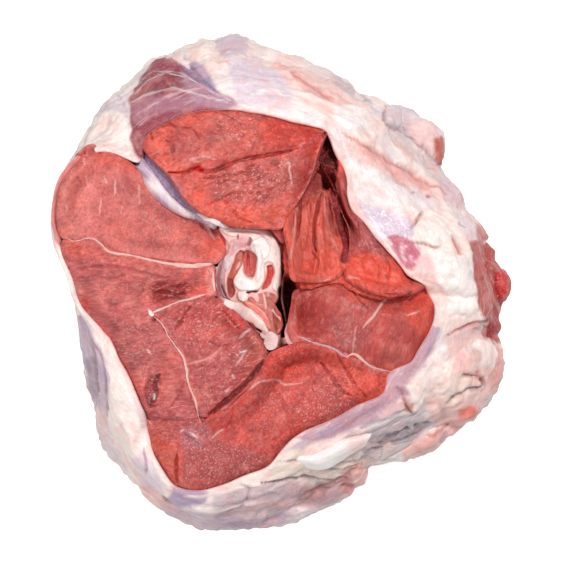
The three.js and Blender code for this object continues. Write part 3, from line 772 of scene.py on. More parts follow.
FLESH_AREAS = [
    # outline, colour, strength, softness of the border, lift in mm, wetness, which also sets painted glints
    ([(182, 188), (200, 197), (225, 203), (252, 206), (275, 203), (286, 205), (274, 224), (245, 229),
      (205, 217)], "orange", 0.6, 7, 0.3, 0),
    # The darker right slope of the top muscle, falling to the crevice: painted shade.
    ([(335, 133), (320, 170), (302, 198), (286, 210), (297, 172), (306, 140), (322, 127)],
     "deep_red", 0.42, 9, 0, 0),
    ([(205, 170), (245, 165), (290, 160), (292, 186), (262, 202), (218, 200)], "dusky", 0.28, 8, 0, 0.45),
    ([(142, 135), (158, 124), (172, 120), (170, 150), (190, 172), (172, 176), (150, 158)],
     "orange", 0.45, 8, 0, 0.1),
    ([(215, 118), (240, 112), (262, 122), (255, 142), (225, 140)], "flesh_top", 0.3, 8, 0, 0.55),
    ([(134, 138), (140, 141), (142, 152), (158, 166), (173, 177), (186, 198), (178, 200), (160, 185),
      (140, 168)], "heather", 0.9, 3, 0, 0.15),
    ([(58, 190), (72, 172), (94, 158), (96, 190), (92, 225), (80, 240), (60, 235)],
     "salmon", 0.4, 10, 0, 0),
    ([(206, 238), (228, 238), (222, 254), (206, 261), (196, 250)], "orange", 0.65, 6, 0.3, 0),
    ([(95, 155), (120, 156), (140, 170), (125, 172), (104, 164)], "orange", 0.45, 6, 0, 0),
    ([(70, 242), (108, 252), (150, 261), (200, 266), (196, 276), (140, 268), (95, 262), (72, 258)],
     "flesh_top", 0.4, 5, 0, 0),
    ([(148, 286), (168, 280), (192, 284), (198, 294), (172, 301), (154, 304)],
     "deep_red", 0.8, 8, -0.5, 0.3),
    ([(100, 272), (130, 274), (146, 284), (140, 296), (112, 288)], "dusky", 0.45, 8, 0, 0.25),
    ([(208, 266), (214, 267), (216, 292), (207, 294), (205, 280)], "salmon", 0.85, 3, 0.3, 0),
    ([(186, 288), (206, 284), (206, 296), (188, 299)], "orange", 0.6, 4, 0, 0),
    ([(110, 320), (145, 325), (165, 345), (152, 372), (130, 366), (112, 345)], "dusky", 0.35, 9, 0, 0.35),
    ([(136, 394), (170, 400), (200, 404), (206, 430), (180, 442), (152, 434), (140, 414)],
     "flesh_wedge", 0.7, 7, 0, 0.3),
    ([(140, 408), (150, 424), (178, 456), (180, 488), (168, 484), (152, 458), (142, 436)],
     "rust", 0.5, 5, 0, 0),
    ([(150, 374), (160, 378), (156, 402), (148, 408), (145, 392)], "plum", 0.7, 4, -0.8, 0.5),
    ([(192, 355), (225, 350), (252, 352), (256, 368), (232, 390), (206, 412), (196, 396), (190, 372)],
     "dusky", 0.3, 8, 0.2, 0.35),
    ([(250, 330), (266, 342), (266, 354), (254, 376), (236, 392), (245, 360)], "rust", 0.35, 6, 0.3, 0.4),
    ([(180, 306), (205, 300), (224, 306), (244, 328), (222, 340), (198, 345), (180, 336), (172, 322)],
     "flesh_base", 0.3, 8, 0, 0.5),
    ([(210, 300), (224, 304), (248, 324), (236, 330), (220, 318)], "red", 0.4, 5, 0, 0),
    ([(270, 350), (295, 344), (315, 350), (312, 378), (270, 378), (262, 368)], "red", 0.5, 7, 0, 0.2),
    ([(345, 362), (366, 372), (394, 378), (388, 394), (362, 404), (345, 390)], "flame", 0.6, 6, 0, 0.1),
    ([(316, 348), (338, 352), (350, 362), (338, 372), (324, 366)], "orange", 0.55, 6, 0, 0),
    ([(182, 445), (215, 440), (255, 450), (268, 468), (240, 480), (205, 490), (184, 484)],
     "dusky", 0.55, 9, 0, 0.45),
    ([(300, 395), (350, 400), (345, 416), (310, 428), (292, 418)], "flesh_base", 0.2, 9, 0, 0.6),
    ([(180, 425), (206, 424), (214, 440), (196, 450), (180, 446)], "heather", 0.25, 9, 0, 0.5),
    ([(295, 288), (322, 286), (330, 300), (328, 335), (304, 338), (296, 320)],
     "deep_red", 0.45, 16, -0.2, 0),
    ([(405, 282), (433, 286), (438, 315), (430, 338), (414, 330), (402, 305)], "flame", 0.5, 8, 0, 0.1),
    ([(335, 300), (380, 302), (368, 345), (345, 350), (332, 330)], "dusky", 0.3, 8, 0, 0.2),
    ([(375, 340), (412, 345), (405, 368), (385, 370)], "salmon", 0.2, 8, 0, 0),
    ([(283, 216), (296, 208), (296, 240), (292, 268), (284, 262)], "flame", 0.5, 3, 0.8, 0.15),
    ([(300, 210), (316, 200), (314, 250), (300, 276), (292, 262)], "orange", 0.4, 5, 0.6, 0.1),
    ([(318, 250), (332, 248), (342, 262), (338, 276), (322, 278), (312, 268)], "flame", 0.55, 4, 0.6, 0),
    ([(292, 262), (312, 258), (318, 276), (300, 284), (288, 278)], "flame", 0.45, 5, 0.3, 0),
    ([(338, 142), (344, 150), (346, 168), (340, 172), (337, 158)], "flame", 0.6, 3, 0, 0),
    ([(346, 196), (356, 206), (384, 246), (382, 262), (364, 254), (352, 240)],
     "dusky", 0.55, 6, -0.5, 0.35),
    ([(342, 262), (362, 252), (382, 256), (390, 272), (376, 286), (350, 284), (340, 272)],
     "flame", 0.75, 9, 0.3, 0.05),
    ([(394, 256), (404, 268), (411, 280), (398, 290), (388, 282), (388, 262)],
     "flame", 0.75, 4, 0.7, 0.1),
    ([(372, 276), (388, 280), (396, 290), (378, 298), (362, 292)], "flame", 0.5, 4, 0.2, 0.1),
    ([(342, 282), (352, 282), (376, 298), (356, 304), (345, 292)], "orange", 0.45, 4, 0, 0),
]

FLESH_STROKES = [
    # line, width, colour, strength, lift in mm
    ([(168, 172), (184, 172), (196, 169), (212, 171), (240, 160), (268, 155), (292, 150)],
     2.2, "deep_red", 0.6, -1.5),
    ([(236, 161), (268, 152), (296, 147)], 5, "deep_red", 0.3, -0.6),
    ([(193, 170), (198, 167), (203, 172)], 3.2, "blood", 0.95, -0.5),
    ([(200, 162), (190, 160), (205, 157), (216, 160)], 2, "pink", 0.35, 0.2),
    ([(198, 178), (222, 176), (240, 172), (256, 164)], 1.8, "deep_red", 0.5, -0.7),
    ([(205, 184), (228, 180), (246, 182), (268, 174)], 1.5, "deep_red", 0.4, -0.6),
    ([(218, 200), (238, 192), (258, 194), (280, 184)], 1.6, "deep_red", 0.4, -0.6),
    ([(150, 132), (153, 140)], 1.4, "deep_red", 0.6, -0.6),
    ([(168, 118), (171, 124), (178, 128)], 1.4, "deep_red", 0.65, -0.7),
    ([(166, 140), (172, 146), (173, 156)], 2.6, "plum", 0.75, -0.8),
    ([(184, 126), (194, 130), (200, 140)], 1.2, "deep_red", 0.5, -0.5),
    ([(220, 112), (236, 120), (244, 130)], 1.2, "plum", 0.4, -0.4),
    ([(284, 165), (289, 163), (290, 171), (292, 183)], 1.2, "pink", 0.75, 0.5),
    ([(208, 206), (222, 200), (240, 218), (252, 222)], 1.6, "red", 0.5, -0.8),
    ([(262, 212), (268, 222), (276, 226)], 2.4, "dusky", 0.5, -0.5),
    # Short pale streaks on the left muscle: painted highlights.
    ([(115, 180), (115, 195)], 1, "pink", 0.8, 0.1), ([(104, 176), (107, 184)], 0.9, "pink", 0.6, 0.1),
    ([(85, 174), (89, 188)], 0.9, "pink", 0.5, 0.1), ([(139, 184), (140, 204)], 1.2, "pink", 0.55, 0.1),
    ([(101, 198), (100, 214)], 0.9, "pink", 0.5, 0.1), ([(84, 157), (85, 167)], 0.9, "pink", 0.6, 0.1),
    ([(66, 203), (67, 214)], 0.9, "pink", 0.5, 0.1), ([(123, 205), (121, 214)], 0.8, "pink", 0.4, 0.1),
    ([(80, 268), (105, 266), (132, 269), (160, 277), (176, 276)], 1.5, "plum", 0.6, -0.6),
    ([(96, 276), (112, 279), (124, 274)], 1.2, "plum", 0.5, -0.5),
    ([(150, 288), (162, 284), (174, 287), (186, 284)], 1.5, "dark", 0.45, -0.9),
    ([(153, 294), (164, 291), (176, 294), (192, 291)], 1.6, "dark", 0.5, -1.1),
    ([(158, 299), (170, 297), (182, 299)], 1.3, "dark", 0.4, -0.8),
    ([(150, 358), (146, 370), (143, 386)], 1.3, "rose", 0.35, -0.5),
    # A painted glint.
    ([(147, 349), (151, 355)], 1.3, "pink", 0.85, 0.2),
    ([(160, 374), (155, 384), (156, 394), (150, 406)], 2.2, "dark", 0.45, -1.1),
    # The white fleck first on the next line is a painted glint.
    ([(154, 394), (154, 400)], 1.4, "white", 0.9, 0.2), ([(158, 383), (159, 388)], 1, "pink", 0.6, 0.1),
    ([(184, 382), (178, 396), (170, 410)], 1.4, "deep_red", 0.4, -0.5),
    ([(190, 306), (184, 318), (174, 330)], 1.6, "deep_red", 0.5, -0.8),
    ([(222, 310), (232, 322), (240, 330)], 1.6, "deep_red", 0.4, -0.7),
    ([(205, 338), (218, 346), (232, 344)], 1.3, "deep_red", 0.4, -0.5),
    ([(239, 338), (245, 333), (251, 328)], 1.6, "pink", 0.8, 0.3),
    # The pale strokes of this line and the next are painted glints.
    ([(236, 365), (243, 356), (246, 350)], 1.6, "pink", 0.6, 0.2),
    ([(232, 375), (234, 379)], 1.5, "pink", 0.7, 0.1), ([(240, 352), (246, 351)], 1.3, "white", 0.7, 0.1),
    ([(226, 392), (230, 388)], 1.2, "pink", 0.6, 0.1),
    # The groove along the wedge's proud edge and the dark line in it: painted shade.
    ([(268, 352), (266, 359), (256, 371), (244, 385), (226, 401), (206, 418)], 3, "deep_red", 0.75, -2.6),
    ([(266, 359), (256, 371), (244, 384)], 1.4, "dark", 0.7, -1),
    ([(248, 392), (256, 384), (266, 381), (278, 380), (284, 385), (302, 383)], 1.3, "pink", 0.6, 0.3),
    ([(320, 362), (330, 374), (342, 390), (352, 396)], 1.8, "deep_red", 0.5, -1.1),
    ([(336, 352), (346, 370), (358, 388), (366, 396)], 1.6, "deep_red", 0.45, -0.9),
    ([(177, 452), (176, 468), (179, 490)], 1.8, "deep_red", 0.6, -1.2),
    ([(184, 434), (192, 440), (200, 447)], 1.8, "slate", 0.8, -0.8),
    ([(190, 432), (198, 438)], 1.2, "white", 0.6, 0.1), ([(180, 432), (184, 430)], 1.2, "pink", 0.7, 0.1),
    # A painted glint.
    ([(212, 438), (218, 432), (224, 429)], 1.2, "pink", 0.75, 0.1),
    ([(226, 428), (232, 418), (232, 404)], 1.8, "red", 0.5, -0.6),
    ([(388, 298), (381, 304), (374, 315), (363, 328)], 1.9, "pink", 0.7, 0.5),
    ([(356, 326), (354, 340), (353, 353)], 1.5, "rose", 0.6, 0.2),
    ([(408, 315), (419, 311)], 1.1, "pink", 0.5, 0.1), ([(404, 302), (414, 294)], 1, "rose", 0.4, 0.1),
    ([(349, 284), (363, 292), (379, 296), (388, 294), (402, 296)], 1.8, "red", 0.6, -0.7),
    ([(349, 285), (362, 302), (372, 310)], 1.6, "deep_red", 0.4, -0.6),
    ([(298, 196), (296, 214), (294, 238), (290, 262)], 1.5, "pink", 0.45, 0.5),
    ([(301, 200), (299, 222), (296, 246)], 1.8, "deep_red", 0.55, -1.4),
    ([(293, 228), (293, 240)], 1.4, "pink", 0.7, 0.2),
    ([(322, 192), (316, 214), (314, 238), (316, 252)], 2, "deep_red", 0.6, -1.6),
    ([(310, 196), (308, 220), (304, 250)], 2.2, "orange", 0.3, 0.8),
    ([(325, 194), (326, 214), (331, 234), (338, 250)], 1.3, "rose", 0.5, 0.4),
    ([(329, 196), (332, 216), (338, 236)], 1.2, "deep_red", 0.7, -1),
    ([(332, 198), (337, 218), (343, 238)], 1.2, "rose", 0.4, 0.3),
    ([(321, 205), (322, 226), (325, 248)], 2, "orange", 0.45, 0.7),
    ([(312, 252), (318, 262), (316, 274)], 1.5, "deep_red", 0.5, -0.8),
    ([(371, 256), (380, 270), (376, 284)], 1.6, "red", 0.4, -0.4),
    ([(386, 256), (390, 268), (388, 280)], 1.6, "deep_red", 0.4, -0.6),
    ([(350, 190), (362, 214), (378, 240)], 1.4, "plum", 0.35, -0.3),
    ([(296, 276), (316, 285), (340, 284)], 1.6, "red", 0.5, -0.5),
]

FLESH_SPOTS = [
    # place, radius, colour, strength
    ((165, 143), 10, "orange", 0.6), ((200, 122), 14, "orange", 0.35), ((198, 196), 9, "flame", 0.6),
    ((245, 216), 12, "flame", 0.5), ((272, 214), 8, "rust", 0.4), ((275, 135), 18, "red", 0.4),
    ((310, 128), 12, "red", 0.5), ((215, 140), 12, "dusky", 0.35), ((180, 148), 8, "dusky", 0.4),
    ((262, 178), 12, "plum", 0.3), ((137, 152), 6, "purple", 0.6), ((150, 232), 24, "dusky", 0.3),
    ((66, 232), 9, "orange", 0.5), ((198, 252), 8, "dusky", 0.4), ((185, 240), 8, "rust", 0.4),
    ((75, 250), 8, "orange", 0.5), ((85, 305), 9, "red", 0.45), ((134, 396), 9, "red", 0.5),
    ((172, 402), 10, "dusky", 0.4), ((158, 432), 8, "orange", 0.4), ((240, 322), 8, "red", 0.5),
    ((262, 345), 6, "rust", 0.5), ((205, 322), 10, "dusky", 0.35), ((248, 370), 8, "plum", 0.4),
    ((225, 400), 6, "deep_red", 0.5), ((285, 358), 10, "flame", 0.4), ((240, 398), 9, "red", 0.5),
    ((300, 425), 14, "red", 0.3), ((195, 487), 8, "orange", 0.4), ((200, 412), 7, "heather", 0.45),
    ((355, 345), 9, "dusky", 0.4), ((345, 345), 7, "dusky", 0.4), ((398, 296), 3.5, "blood", 0.8),
    ((318, 182), 8, "plum", 0.6), ((312, 190), 7, "dusky", 0.5), ((342, 232), 7, "deep_red", 0.5),
    ((344, 256), 5, "dark", 0.5), ((288, 284), 6, "flame", 0.6), ((288, 130), 26, "red", 0.5),
    ((308, 142), 16, "red", 0.5), ((306, 312), 16, "deep_red", 0.75), ((225, 472), 34, "plum", 0.25),
    ((312, 172), 3, "lavender", 0.8),
]

FLESH_WET_AND_GLINTS = [
    # place, radius, strength of the wetness, which also sets painted glints
    ((248, 184), 40, 0.35), ((232, 130), 20, 0.3), ((165, 225), 46, 0.35), ((150, 330), 40, 0.3),
    ((205, 330), 26, 0.55), ((238, 355), 20, 0.6), ((330, 408), 40, 0.55), ((270, 405), 30, 0.35),
    ((225, 465), 34, 0.4), ((290, 360), 22, 0.35), ((345, 330), 24, 0.25), ((362, 235), 20, 0.25),
    ((306, 265), 12, 0.3), ((200, 385), 22, 0.3), ((90, 290), 22, 0.25), ((350, 375), 14, 0.4),
]

# Places that lie deep: line, half width, depth in mm, and how strong the painted shade in them is.
SINKS = [
    ([(329, 138), (331, 152), (331, 166), (329, 178)], 6, 12, 0.85),
    ([(322, 160), (326, 176), (327, 186)], 4, 6, 0.5),
    ([(332, 184), (336, 205), (342, 228), (346, 246), (344, 260)], 2.8, 2.5, 0.35),
    ([(284, 238), (284, 250), (284, 270), (284, 290)], 2.4, 10, 0.7),
    ([(286, 291), (286, 300), (282, 308)], 6.5, 26, 1),
    ([(284, 312), (284, 324), (284, 336)], 2.6, 14, 0.9),
]
# Wide dips and swells of the cut face: place, radius, lift in mm.
SWELLS = [
    ((312, 182), 22, -6), ((340, 225), 24, -6), ((352, 200), 18, -3.5), ((318, 155), 14, -3),
    ((305, 240), 16, 1.5), ((366, 268), 20, 0.9), ((200, 148), 34, 0.8), ((245, 355), 22, 0.9),
    ((155, 292), 16, -1.2), ((153, 392), 10, -1.2), ((400, 274), 10, 1), ((215, 165), 18, -0.8),
]


def cut_face_share(surface):
    """1 where a point belongs to the cut face, 0 on the sides and below."""
    return step(surface.normals[:, 2], 0.2, 0.7) * step(surface.points[:, 2], TOP_FROM, TOP_FROM + 5)


def nearest_in_plan(points, others):
    """For each point: the number of the nearest of the others in plan, and how far it is."""
    finder = KDTree(len(others))
    for k, (x, y, _) in enumerate(others):
        finder.insert((x, y, 0), k)
    finder.balance()
    found = [finder.find((x, y, 0)) for x, y, _ in points]
    return np.array([k for _, k, _ in found]), np.array([gap for _, _, gap in found])


def edge_distances(surface, top):
    """How far each top point is, in plan, from the sides of its piece."""
    walls = np.flatnonzero((np.abs(surface.normals[:, 2]) < 0.3) & (surface.points[:, 2] > TOP_FROM))
    return nearest_in_plan(surface.points[top], surface.points[walls])[1]


def powers(points):
    """The terms of a cubic surface over the plan of some points."""
    x, y = points[:, :2].T / HALF_PLAN
    return np.column_stack([x ** i * y ** j for i in range(4) for j in range(4 - i)])


def cut_surfaces(blanks):
    """A smooth surface for each kind of cut, through the middles of its muscles' tops."""
    fits = {}
    for cut, (reach, _) in CUTS.items():
        spots = []
        for name, facts in MUSCLES.items():
            if facts.cut == cut:
                surface, top, edge = blanks[name]
                spots.append(surface.points[top[edge > reach]])
        spots = np.vstack(spots)
        fits[cut] = np.linalg.lstsq(powers(spots), spots[:, 2], rcond=None)[0]
    return fits


def level_top(surface, top, edge, reach, amount, fit):
    """Lifts the rolled edges of a muscle's top to the cut's own surface, and its sides with them."""
    points = surface.points
    goal = powers(points[top]) @ fit
    angle, reach_of_top = round_hub(points[top][:, :2])
    near_rim = 1 - step(SOLID_RIM.at(angle) - reach_of_top, 0.5, 6)
    lift = (goal - points[top][:, 2]) * (1 - step(edge, 0.5, reach)) * amount * (1 - 0.3 * near_rim)
    sides = np.setdiff1d(np.flatnonzero(points[:, 2] > SIDES_FROM), top)
    nearest, _ = nearest_in_plan(points[sides], points[top])
    before = points[:, 2].copy()
    points[top, 2] += lift
    points[sides, 2] += lift[nearest] * step(before[sides], SIDES_FROM, before[top][nearest])


def draw_sinks(surface, weight):
    """Sinks the places that lie deep and paints shade into them."""
    for line, width, depth, darkness in SINKS:
        path = smooth_line(line)
        some = surface.close_to(path, width * 2)
        if len(some):
            distance, _ = beside(surface.pixels[some], path)
            amount = (1 - step(distance, width * 0.55, width * 1.35)) * weight[some]
            surface.lift[some] -= depth * amount
            surface.shade[some] = np.maximum(surface.shade[some], darkness * amount)


def model_face(surface, face):
    """Gives the cut face its dips, creases and colours."""
    surface.look(4.0, 1.1, 5)
    for spot, radius, lift in SWELLS:
        gap = gaps_from(surface.pixels, spot, radius)
        surface.lift += lift * np.exp(-(gap * 1.3) ** 2) * face
    draw_spots(surface, FLESH_SPOTS, face)
    draw_areas(surface, FLESH_AREAS, face)
    surface.look(2.5, 0.7, 7)
    draw_strokes(surface, FLESH_STROKES, face)
    draw_strokes(surface, [(row[0], 2.4, "salmon", 0.65, 0.0) for row in FASCIA], face)
    draw_wet_and_glints(surface, FLESH_WET_AND_GLINTS, face)
    draw_sinks(surface, face)


def make_flesh():
    """All the muscles, evened out together and then finished one by one."""
    pieces = {}
    blanks = {}
    for name in MUSCLES:
        piece = soft_copy(name, name + "_flesh", MUSCLE_GRAIN, 4)
        surface = Surface(piece.data)
        top = np.flatnonzero((surface.normals[:, 2] > 0.3) & (surface.points[:, 2] > TOP_FROM))
        pieces[name] = piece
        blanks[name] = (surface, top, edge_distances(surface, top))
    fits = cut_surfaces(blanks)
    for number, (name, facts) in enumerate(MUSCLES.items()):
        surface, top, edge = blanks[name]
        seed = MUSCLE_SEED + number
        level_top(surface, top, edge, *CUTS[facts.cut], fits[facts.cut])
        surface.write()
        face = cut_face_share(surface)
        surface.relax(step(surface.points[:, 2], 40, 46), 3)
        swell = 0.36 + 0.5 * step(surface.points[:, 2], 38, 44) + 0.06 * noise(surface.points, 12.0, seed)
        surface.points += surface.normals * (swell * (1 - face) * step(surface.points[:, 2], 0, 4))[:, None]
        surface.points = fitted(surface.points)
        even = surface.points.copy()
        surface.colour[:] = linear(facts.colour)
        broad = rough_noise(even, 14.0, 3, seed + 3)
        surface.cover("orange", 0.3 * step(broad, 0.05, 0.7))
        surface.cover("dusky", 0.35 * step(-broad, 0.05, 0.7))
        mottled = rough_noise(even, 5.0, 3, seed + 4)
        surface.cover("salmon", 0.35 * step(mottled, 0.1, 0.9))
        surface.cover("plum", 0.45 * step(-mottled, 0.1, 0.9))
        uneven = facts.rough * rough_noise(even, 8.0, 3, seed + 1) + 0.1 * noise(even, 1.6, seed + 2)
        surface.lift = face * uneven
        model_face(surface, face)
        # Painted shade: the sides and sunk places below the cut face are painted deeper red the deeper they
        # lie, and the sides get painted shade too.
        depth = step(FACE_HEIGHT - even[:, 2] - surface.lift, 4, 14)
        surface.cover("deep_red", 0.75 * np.maximum(1 - face, 0.6 * step(-surface.lift, 2, 8)) * depth)
        surface.shade = np.maximum(surface.shade, 0.5 * (1 - face) * step(FACE_HEIGHT - even[:, 2], 8, 22))
        surface.points[:, 2] += surface.lift
        material = flesh_material(name + "_cut", facts.turn, facts.tilt, facts.grain, facts.contrast)
        finish(pieces[name], surface, material, "flesh", name)
    return pieces, fits


# ----------
# The core of fat and tendon, and the septum
# ----------
CORE_AREAS = [
    # outline, colour, strength, softness of the border, lift in mm, wetness, which also sets painted glints
    ([(206, 217), (216, 221), (230, 226), (246, 227), (262, 228), (270, 231), (276, 238), (280, 246),
      (281, 258), (281, 272), (280, 284), (277, 292), (272, 286), (275, 274), (274, 265), (268, 262),
      (264, 266), (265, 276), (262, 286), (256, 291), (246, 291), (238, 289), (233, 282), (235, 273),
      (241, 266), (244, 274), (252, 279), (256, 270), (257, 258), (252, 252), (250, 246), (252, 240),
      (246, 236), (238, 236), (230, 236), (220, 230)], "cream", 0.8, 1.6, 0.9, 0),
    ([(236, 279), (242, 276), (250, 279), (257, 284), (258, 289), (250, 291), (240, 290), (235, 286)],
     "white", 0.6, 2, 0.5, 0),
    ([(252, 241), (263, 237), (270, 247), (268, 256), (262, 264), (261, 276), (256, 281), (256, 264),
      (255, 252)], "white", 0.7, 2.5, 0.6, 0),
    ([(243, 252), (248, 250), (254, 253), (257, 257), (256, 266), (254, 276), (250, 277), (245, 274),
      (243, 264)], "flesh_base", 0.95, 1.2, -1.6, 0.2),
    ([(236, 254), (241, 250), (244, 253), (243, 262), (239, 270), (235, 277), (233, 284), (235, 291),
      (233, 297), (229, 297), (227, 288), (227, 279), (230, 272), (233, 264)],
     "rust", 0.95, 1.2, -1.4, 0.1),
    ([(228, 278), (233, 280), (235, 291), (232, 297), (228, 292)], "deep_red", 0.6, 1.5, -0.4, 0),
    ([(267, 266), (272, 265), (274, 272), (272, 279), (269, 286), (262, 290), (264, 283), (267, 275)],
     "red", 0.95, 1.1, -1.5, 0.1),
    ([(230, 240), (240, 237), (247, 238), (250, 244), (244, 248), (238, 250), (232, 256), (228, 262),
      (225, 254)], "mauve", 0.5, 2, -0.3, 0.2),
    ([(212, 263), (222, 259), (226, 266), (225, 278), (225, 290), (230, 300), (222, 299), (217, 288),
      (214, 275)], "heather", 0.65, 2, -0.5, 0.1),
    ([(222, 257), (229, 254), (232, 260), (228, 270), (224, 268)], "pearl", 0.8, 1.5, 0.5, 0),
    ([(239, 291), (247, 292), (248, 297), (246, 302), (240, 301), (238, 296)],
     "cream", 0.95, 1.2, 0.7, 0),
    ([(242, 303), (250, 297), (258, 294), (268, 292), (277, 296), (277, 306), (272, 311), (278, 318),
      (283, 328), (280, 335), (270, 333), (266, 327), (266, 319), (258, 311), (249, 307)],
     "rust", 0.85, 2, -0.5, 0.15),
    ([(272, 311), (279, 319), (283, 330), (278, 335), (274, 324)], "deep_red", 0.6, 2, -0.6, 0.1),
    ([(250, 301), (262, 306), (266, 318), (258, 312), (250, 307)], "orange", 0.45, 2, 0.3, 0),
    ([(268, 294), (275, 296), (274, 304), (268, 306)], "deep_red", 0.4, 1.5, -0.3, 0),
]
CORE_STROKES = [
    # line, width, colour, strength, lift in mm
    ([(248, 253), (248, 262), (247, 273)], 1.4, "blood", 0.4, -0.5),
    ([(247, 254), (249, 264), (250, 274)], 1, "deep_red", 0.5, -0.4),
    ([(250, 238), (250, 242), (248, 246)], 2.4, "plum", 0.8, -0.5),
    ([(238, 234), (238, 239)], 1, "plum", 0.8, -0.8),
    ([(210, 265), (212, 268), (215, 272)], 1.5, "dark", 0.9, -1.6),
    ([(221, 285), (223, 290), (226, 297)], 1.2, "shadow", 0.7, -0.8),
    ([(246, 293), (252, 292), (258, 291)], 1.4, "deep_red", 0.9, -1.3),
    ([(256, 328), (261, 332)], 1.8, "dark", 0.9, -2),
    ([(263, 293), (265, 300), (266, 309)], 1.5, "pink", 0.9, 0.5),
    ([(268, 292), (269, 297)], 1.2, "pink", 0.8, 0.3), ([(275, 284), (276, 293)], 1.4, "cream", 0.7, 0.3),
    ([(222, 232), (240, 231), (258, 233), (270, 240)], 1.6, "pearl", 0.6, -0.3),
    ([(260, 250), (262, 262), (260, 276)], 1.6, "pearl", 0.5, -0.3),
    ([(232, 241), (230, 250), (225, 258)], 1.4, "pink", 0.8, 0.3),
    ([(240, 262), (236, 270)], 1.8, "pink", 0.7, 0.4),
]
# Thick strands of the core: line, widths, thickness against width, colours, height over the base.
CORE_STRANDS = [
    ([(196, 213), (206, 218), (218, 223), (230, 228)], [3, 5, 6, 4], 0.35, "pearl", "cream", -0.1),
    ([(218, 297), (228, 303), (237, 308), (247, 314), (256, 321), (263, 327), (268, 333)],
     [3, 7, 11, 12, 11, 9, 6], 0.4, "pink", "cream", 0),
    ([(240, 300), (250, 305), (259, 311), (266, 320), (270, 330)], [3, 6, 7, 7, 4],
     0.5, "orange", "rose", 0),
    ([(264, 296), (271, 304), (277, 314), (280, 326), (276, 336)], [3, 6, 7, 7, 4],
     0.4, "rust", "deep_red", -0.2),
    ([(238, 292), (243, 297), (246, 303)], [5, 10, 6], 0.4, "cream", "pink", 0),
    ([(250, 293), (256, 297), (258, 303)], [4, 7, 3], 0.4, "pink", "rose", 0),
    ([(267, 332), (271, 340), (269, 350)], [12, 18, 13], 0.4, "cream", "pink", 0),
    ([(260, 333), (264, 336), (268, 338)], [5, 6, 4], 0.4, "pink", "cream", 0),
    ([(293, 312), (291, 322), (289, 332), (290, 341), (297, 344)], [3, 7, 9, 8, 4],
     0.35, "mauve", "pink", -1),
    ([(276, 343), (284, 341), (292, 341), (298, 343)], [4, 7, 7, 4], 0.4, "pink", "rose", -0.3),
]
# What closes the gaps between the muscles: line, widths, thickness against width, colours, depth.
SEAMS = [
    # Slate and iris: the crevice by the septum, its violet skin darkened with painted shade.
    ([(141, 150), (152, 164), (164, 178), (176, 192), (190, 204), (204, 213), (214, 220)],
     [4, 9, 12, 13, 11, 8, 4], 0.3, "slate", "iris", -2.2),
    ([(286, 288), (298, 284), (312, 284), (326, 280), (340, 279), (352, 286), (366, 293), (382, 297),
      (400, 296)], [6, 10, 10, 9, 9, 8, 7, 6, 3], 0.3, "flesh_folds", "red", -0.5),
    ([(289, 213), (289, 226), (288, 240), (287, 256), (287, 272), (288, 286)], [5, 9, 8, 7, 6, 6],
     0.4, "red", "flesh_folds", -1),
    # Dark and deep red: painted shade in the narrow groove beside the core.
    ([(284, 214), (284, 236), (284, 258), (284, 284)], [5, 8, 8, 6], 0.3, "dark", "deep_red", -4),
    # Deep red and dark: painted shade in the groove along the wedge's proud edge.
    ([(268, 350), (262, 364), (250, 380), (232, 396), (214, 410), (203, 421)], [5, 8, 8, 7, 6, 3],
     0.3, "deep_red", "dark", -1.8),
    ([(204, 222), (211, 240), (209, 262), (211, 282), (222, 300)], [6, 7, 9, 7, 6],
     0.3, "purple", "rose", -0.9),
    ([(286, 343), (306, 343), (322, 347), (338, 355), (352, 361), (372, 371), (396, 379)],
     [8, 8, 7, 7, 6, 6, 5], 0.3, "plum", "flesh_base", -0.7),
    ([(330, 186), (336, 210), (342, 232), (345, 256), (345, 280)], [8, 10, 10, 9, 7],
     0.3, "deep_red", "plum", -1.2),
    # Plum and deep red: the top muscle's wall down to the folds, darkened with painted shade.
    ([(319, 160), (308, 178), (298, 196), (290, 212), (284, 224)], [9, 10, 10, 10, 7],
     0.3, "plum", "deep_red", -1.6),
    ([(138, 411), (154, 414), (172, 416), (188, 418), (202, 420)], [5, 8, 8, 8, 5],
     0.2, "dusky", "plum", -0.3),
    ([(150, 312), (158, 322), (168, 338), (182, 358), (190, 384), (198, 416)], [4, 6, 6, 6, 6, 4],
     0.3, "dusky", "plum", -0.6),
    ([(150, 312), (170, 306), (190, 300), (212, 296)], [4, 6, 6, 5], 0.3, "dusky", "rose", -0.6),
    ([(60, 238), (80, 240), (100, 244), (120, 254), (150, 261), (180, 266), (212, 265)],
     [4, 5, 5, 5, 5, 6, 6], 0.3, "dusky", "rose", -0.5),
    ([(258, 226), (270, 226), (279, 233), (284, 244)], [4, 8, 9, 6], 0.4, "dusky", "flesh_base", -0.8),
    # Dark and deep red: a plug that fills the deep bone channel with painted shade.
    ([(288, 266), (289, 280), (288, 300), (286, 320), (286, 342)], [10, 18, 30, 26, 16],
     0.2, "dark", "deep_red", -17),
    # Deep red and dark: a plug that fills the deep hollow at the upper right with painted shade.
    ([(331, 128), (331, 150), (328, 172), (324, 190)], [14, 26, 26, 16], 0.2, "deep_red", "dark", -7),
]
# Where the core is drawn aside near the cut face: place, radius and move.
CORE_PULLS = [((283, 228), 11, (-4, 4)), ((282, 264), 16, (3, 0))]


CORE_GRAIN = 0.45  # millimetres to a face of the core, half of that on the cut face


